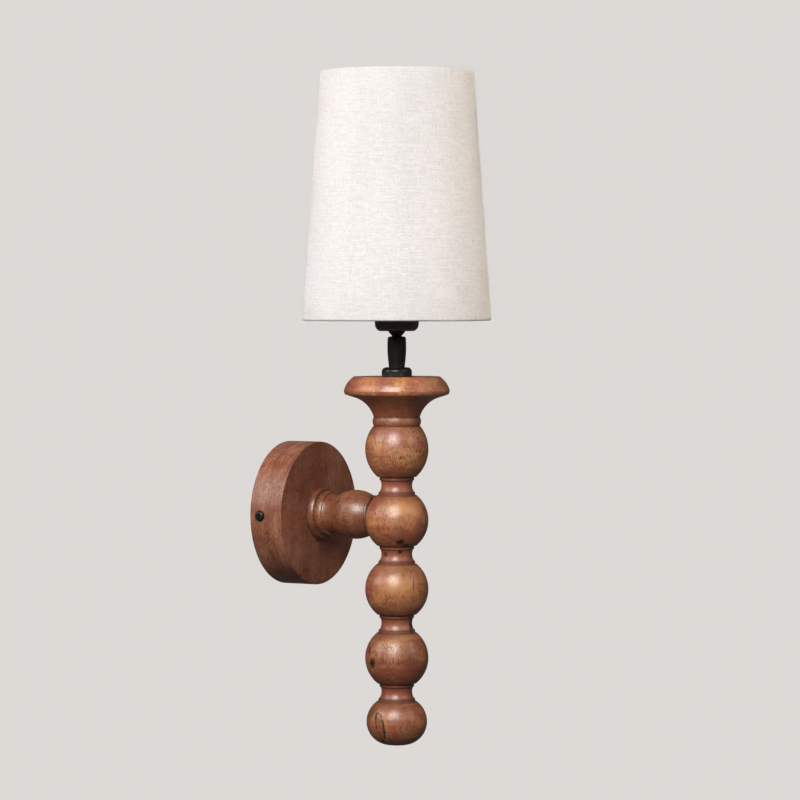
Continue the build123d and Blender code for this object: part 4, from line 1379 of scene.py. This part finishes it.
@dataclass(frozen=True)
class Fittings:
    """Metal, plastic and wire pieces of the construction."""

    finishes: tuple[Coated | Striped, ...] = (
        Coated("black_metal", (0.010, 0.010, 0.0102), (0.015, 0.015, 0.0153), 0.40, coat=0.14, specular=0.35),
        Coated("black_plastic", (0.052, 0.053, 0.051), (0.066, 0.067, 0.064), 0.34, grain=MOULDED, coat=0.2),
        Coated("zinc_steel", (0.52, 0.53, 0.54), (0.66, 0.66, 0.65), 0.42, 0.60, cloud=140.0),
        Coated("brass", (0.72, 0.50, 0.21), (0.80, 0.60, 0.29), 0.28, 1.0, cloud=90.0, grain=DRAWN),
        Coated("nylon", (0.72, 0.71, 0.66), (0.80, 0.79, 0.75), 0.45, subsurface=0.2, specks=0.05),
        Coated("insulator", (0.74, 0.73, 0.69), (0.82, 0.81, 0.78), 0.34, specks=0.08, coat=0.3),
        Coated("black_flex", (0.013, 0.013, 0.013), (0.020, 0.020, 0.019), 0.50),
        Coated("brown_core", *BROWN, 0.42),
        Coated("blue_core", (0.018, 0.075, 0.32), (0.026, 0.10, 0.39), 0.42),
        Striped("earth_core", (0.045, 0.26, 0.035), (0.78, 0.66, 0.03)),
        Coated("lead_core", *BROWN, 0.42),
        Coated("liner", (0.83, 0.82, 0.79), (0.88, 0.87, 0.85), 0.50, specks=0.06, subsurface=0.1),
        Coated("white_wire", (0.76, 0.755, 0.74), (0.83, 0.825, 0.81), 0.34, relief=0.00006, specks=0.1),
        Coated("bulb_metal", (0.60, 0.59, 0.57), (0.70, 0.69, 0.67), 0.26, 1.0, cloud=120.0),
        Coated("bulb_white", (0.80, 0.80, 0.79), (0.85, 0.85, 0.845), 0.38, specks=0.04),
        Coated("bulb_board", (0.58, 0.60, 0.60), (0.68, 0.70, 0.70), 0.42, specks=0.3),
        Coated("bulb_opal", (0.84, 0.84, 0.83), (0.88, 0.88, 0.875), 0.30, subsurface=0.3, specks=0.02),
    )

    def dress(self, record: Mapping[str, Any]) -> None:
        """Gives each piece the finish of its slot.

        Args:
            record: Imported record, which names the slot of each piece.
        """
        materials = {finish.name: finish.material() for finish in self.finishes}
        for part in record["subparts"]:
            slot = part["material_slot"]
            if slot in materials:
                dress(part["node"], materials[slot])


@dataclass(frozen=True)
class RingNut:
    """Knurled nut that holds the cup."""

    low: float = CUP_TOP
    height: float = 0.0074
    radius: float = 0.0121
    bore: float = 0.00505
    shoulder: float = 0.0036
    edge: float = 0.0005
    clear: float = 0.0002
    ribs: int = 48
    rib_depth: float = 0.00026
    steps_a_rib: int = 8
    edge_steps: int = 4
    band_steps: int = 6
    shoulder_steps: int = 12
    finish: Coated = Coated("black_nut", (0.008, 0.008, 0.0082), (0.013, 0.013, 0.0133), 0.32, coat=0.5)

    def build(self) -> None:
        """Makes the nut with its ribs, and dresses it."""
        foot = self.low + self.clear
        top = self.low + self.height
        band = top - self.shoulder
        section = (
            (self.bore, foot),
            *arc((self.radius - self.edge, foot + self.edge), self.edge, -90.0, 0.0, self.edge_steps),
            *straight((self.radius, foot + self.edge), (self.radius, band), self.band_steps),
            *arc((self.radius - self.shoulder, band), self.shoulder, 0.0, 90.0, self.shoulder_steps),
            (self.bore, top),
        )
        nut = Spin(
            "knurled_ring_nut",
            section,
            around=self.ribs * self.steps_a_rib,
            girth=math.tau * self.radius,
            ribs=self.ribs,
            rib_depth=self.rib_depth,
            rib_low=foot + self.clear,
            rib_high=band + self.clear,
            rib_radius=self.radius - self.edge,
        ).build(self.finish.material())
        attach(nut, "wall_mount")
        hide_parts("ring_nut")
        log.info("%s with %d ribs", nut.name, self.ribs)


@dataclass(frozen=True)
class Shade:
    """Linen cover with turned hems, and the slubs that stand out of its weave."""

    low: float = 0.15645
    rise: float = 0.1990
    lower_radius: float = 0.0755
    upper_radius: float = 0.0612
    cloth: float = 0.0008
    hem: float = 0.0090
    hem_inward: float = 0.00165
    fold_inward: float = 0.0048
    fold_run: float = 0.0034
    fold_slant: float = 0.0028
    fold_round: float = 0.0010
    fold_steps: int = 6
    lap: float = 0.010
    lap_step: float = 0.0006
    around: int = 360
    flat: Pair = (0.477, 0.249)
    flat_area: float = 0.0985
    slub_density: float = 7000.0
    slub_shortest: float = 0.0016
    slub_longest: float = 0.0062
    slub_width: float = 0.00042
    slub_height: float = 0.00022
    slub_facing: float = 0.9
    slub_level: float = 0.6
    slub_seed: int = 11
    slub_way_seed: int = 3
    slub_length_seed: int = 5
    linen: Linen = Linen("linen")
    slub: Coated = Coated(
        "linen_slub", (0.64, 0.56, 0.47), (0.77, 0.71, 0.64), 0.88, cloud=420.0, relief=0.00006
    )

    def build(self) -> None:
        """Makes the cover and its slubs, and dresses them."""
        slope = math.hypot(self.rise, self.lower_radius - self.upper_radius)
        half = self.cloth / 2
        line = [
            (self.hem, self.hem_inward),
            (self.fold_run + self.fold_slant, self.hem_inward),
            (self.fold_run, self.fold_inward),
            (half, self.fold_inward),
            (half, half),
        ]
        folded = math.dist(line[0], line[1]) + math.dist(line[1], line[2]) + math.dist(line[2], line[3])
        line += [(slope - along, inward) for along, inward in reversed(line)]
        middle = rounded(line, self.fold_round, self.fold_steps)
        section = [self._point(slope, *spot) for spot in thickened(middle, self.cloth)]
        cover = Spin(
            "linen_cover",
            tuple(section),
            self.around,
            math.pi * (self.lower_radius + self.upper_radius),
            lap=self.lap,
            lap_step=self.lap_step,
            lap_from=folded,
            lap_to=folded + slope + 2 * self.fold_inward,
        ).build(self.linen.material())
        slubs = self._slubs(cover)
        for piece in (cover, slubs):
            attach(piece, "shade")
            log.info("%s with %d faces", piece.name, len(piece.data.polygons))
        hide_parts("shade_cloth")

    def _point(self, slope: float, along: float, inward: float) -> Pair:
        """Finds a point of the cover's section.

        Args:
            slope: Length of the slope.
            along: Length up the slope from the lower edge.
            inward: Depth in from the outer face.

        Returns:
            Its radius and height.
        """
        lean = (self.lower_radius - self.upper_radius) / slope
        rise = self.rise / slope
        return (self.lower_radius - along * lean - inward * rise, self.low + along * rise - inward * lean)

    def _slubs(self, cover: bpy.types.Object) -> bpy.types.Object:
        """Scatters thick places of the yarn over the cover's outer face.

        Args:
            cover: Cover that they lie on.

        Returns:
            The slubs as one piece.
        """
        sizes = {
            "Density": self.slub_density,
            "Shortest": self.slub_shortest,
            "Longest": self.slub_longest,
            "Width": self.slub_width,
            "Height": self.slub_height,
            "Lowest": self.low + self.slub_longest / 2,
            "Highest": self.low + self.rise - self.slub_longest / 2,
            "Reach": REACH,
            "Seed": self.slub_seed,
        }
        form = Form("linen_slubs_form", sizes)
        spot = form.node("GeometryNodeInputPosition")
        spread = form.node(
            "GeometryNodeDistributePointsOnFaces",
            {"distribute_method": "RANDOM"},
            {
                "Mesh": form.given.pick("Start"),
                "Selection": self._outer(form, spot),
                "Density": form.size("Density"),
                "Seed": form.size("Seed"),
            },
        )
        length = form.node(
            "FunctionNodeRandomValue",
            {"data_type": "FLOAT"},
            {2: form.size("Shortest"), 3: form.size("Longest"), "Seed": self.slub_length_seed},
            1,
        )
        placed = form.node(
            "GeometryNodeInstanceOnPoints",
            {},
            {
                "Points": spread,
                "Selection": form.between(form.split(spot).pick("Z"), "Lowest", "Highest"),
                "Instance": form.node("GeometryNodeMeshIcoSphere", {}, {"Radius": 0.5, "Subdivisions": 1}),
                "Rotation": self._laid(form, spread.pick("Normal")),
                "Scale": form.join(X=length, Y=form.size("Width"), Z=form.size("Height")),
            },
        )
        form.close(placed, self.slub.material())
        return form.make("linen_slubs", cover.data.copy())

    def _outer(self, form: Form, spot: Signal) -> Signal:
        """Chooses the faces on the outside of the cover.

        Args:
            form: Tree of the slubs.
            spot: Place on the cover.

        Returns:
            1 on the outer faces and 0 on the others.
        """
        axis = form.join(Y=form.size("Reach"))
        level = form.vector("MULTIPLY", spot, (1.0, 1.0, 0.0))
        outward = form.vector("NORMALIZE", form.vector("ADD", level, axis))
        facing = form.measure("DOT_PRODUCT", form.node("GeometryNodeInputNormal"), outward)
        return form.math("GREATER_THAN", facing, self.slub_facing)

    def _laid(self, form: Form, normal: Signal) -> Signal:
        """Lays each slub flat, along the weft or the warp.

        Args:
            form: Tree of the slubs.
            normal: Direction out of the cloth.

        Returns:
            The rotation of the slubs.
        """
        level = form.vector("CROSS_PRODUCT", (0.0, 0.0, 1.0), normal)
        upright = form.vector("CROSS_PRODUCT", normal, level)
        feeds = {"Seed": self.slub_way_seed}
        chosen = form.node("FunctionNodeRandomValue", {"data_type": "FLOAT"}, feeds, 1)
        way = form.math("GREATER_THAN", chosen, self.slub_level)
        run = form.node("ShaderNodeMix", {"data_type": "VECTOR"}, {0: way, 4: level, 5: upright}, 1)
        align = "FunctionNodeAlignRotationToVector"
        flat = form.node(align, {"axis": "Z"}, {"Vector": normal})
        return form.node(align, {"axis": "X", "pivot_axis": "Z"}, {"Rotation": flat, "Vector": run})


@dataclass(frozen=True)
class Lamp:
    """A soft square light of the studio, turned to the right of the camera and raised, in degrees."""

    name: str
    turn: float
    rise: float
    away: float
    size: float
    power: float
    colour: Colour = (1.0, 0.98, 0.96)
    aim: Point = (0.0, -0.09, 0.08)
    spread: float = 180.0
    glossy: bool = True

    def hang(self) -> None:
        """Puts the light up."""
        data = bpy.data.lights.new(self.name, "AREA")
        data.shape = "SQUARE"
        data.size = self.size
        data.energy = self.power
        data.color = self.colour
        data.spread = math.radians(self.spread)
        light = bpy.data.objects.new(self.name, data)
        angle = VIEW_TURN + math.radians(self.turn)
        lift = math.radians(self.rise)
        level = math.cos(lift)
        back = Vector((math.sin(angle) * level, -math.cos(angle) * level, math.sin(lift)))
        light.visible_glossy = self.glossy
        light.location = Vector(self.aim) + back * self.away
        light.rotation_euler = back.to_track_quat("Z", "Y").to_euler()
        bpy.context.scene.collection.objects.link(light)


@dataclass(frozen=True)
class Studio:
    """Camera, light, world and floor."""

    distance: float = 2.800
    height: float = 0.1728
    sensor: float = 36.0
    frame_pixels: float = 800.0
    focal_pixels: float = 3500.0
    down_pixels: float = 100.0
    right_pixels: float = 3.2
    wall: Colour = (0.723, 0.694, 0.672)
    ambient: Colour = (0.80, 0.80, 0.82)
    ambient_strength: float = 0.06
    floor_level: float = -1.75
    floor_radius: float = 2.6
    floor_corners: int = 96
    floor: Coated = Coated("floor", (0.84, 0.81, 0.785), (0.87, 0.84, 0.815), 0.7, specks=0.0)
    lamps: tuple[Lamp, ...] = (
        Lamp("key", -14.0, 32.0, 2.2, 1.3, 53.0),
        Lamp("side", -75.0, 26.0, 2.4, 1.3, 14.0),
        Lamp("fill", 62.0, 26.0, 3.0, 1.8, 11.5, WARM),
        Lamp("back", 178.0, 28.0, 2.6, 1.5, 35.0, glossy=False),
        Lamp("low", 180.0, -38.0, 2.4, 1.2, 7.0, glossy=False),
        Lamp("shade_right", 100.0, 6.0, 1.3, 0.26, 0.122, AMBER, SHADE_MIDDLE, 5.0, glossy=False),
        Lamp("shade_left", -115.0, 6.0, 1.3, 0.26, 0.098, aim=SHADE_MIDDLE, spread=5.0, glossy=False),
        Lamp("shade_front", 0.0, -6.0, 1.3, 0.10, 0.0036, aim=SHADE_FOOT, spread=6.0, glossy=False),
    )

    def build(self) -> None:
        """Sets up everything round the lamp."""
        self._camera()
        self._world()
        for lamp in self.lamps:
            lamp.hang()
        self._floor()
        bpy.context.scene.view_settings.view_transform = "Standard"

    def _camera(self) -> None:
        """Puts the camera where the photograph was taken from."""
        data = bpy.data.cameras.new("camera")
        data.sensor_width = self.sensor
        data.lens = self.focal_pixels / self.frame_pixels * self.sensor
        camera = bpy.data.objects.new("camera", data)
        back = Vector((math.sin(VIEW_TURN), -math.cos(VIEW_TURN), 0.0))
        pitch = math.atan(self.down_pixels / self.focal_pixels)
        yaw = math.atan(self.right_pixels / self.focal_pixels)
        camera.location = Vector((0.0, -REACH, self.height)) + back * self.distance
        camera.rotation_euler = (QUARTER - pitch, 0.0, VIEW_TURN - yaw)
        bpy.context.scene.collection.objects.link(camera)
        bpy.context.scene.camera = camera

    def _world(self) -> None:
        """Makes a plain pale surrounding that lights less than it shows."""
        world = bpy.data.worlds.new("studio")
        world.use_nodes = True
        maker = NodeMaker(world.node_tree)
        maker.tree.nodes.clear()
        seen, felt = (
            maker.node("ShaderNodeBackground", {}, {"Color": colour, "Strength": strength})
            for colour, strength in ((self.wall, 1.0), (self.ambient, self.ambient_strength))
        )
        ray = maker.node("ShaderNodeLightPath", out="Is Camera Ray")
        both = maker.node("ShaderNodeMixShader", {}, {0: ray, 1: felt, 2: seen})
        maker.node("ShaderNodeOutputWorld", {}, {"Surface": both})
        bpy.context.scene.world = world

    def _floor(self) -> None:
        """Lays a pale round floor below the lamp."""
        mesh = bpy.data.meshes.new("floor")
        angles = [math.tau * i / self.floor_corners for i in range(self.floor_corners)]
        radius = self.floor_radius
        ring = [(radius * math.cos(a), radius * math.sin(a), self.floor_level) for a in angles]
        mesh.from_pydata(ring, [], [tuple(range(self.floor_corners))])
        mesh.materials.append(self.floor.material())
        floor = bpy.data.objects.new("floor", mesh)
        floor.visible_diffuse = False
        floor.visible_glossy = False
        bpy.context.scene.collection.objects.link(floor)


def main() -> None:
    """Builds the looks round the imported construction."""
    logging.basicConfig(level=logging.INFO, format="%(message)s")
    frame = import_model()
    Woodwork().dress()
    Fittings().dress(frame["record"])
    RingNut().build()
    Shade().build()
    Studio().build()


if __name__ == "__main__":
    main()
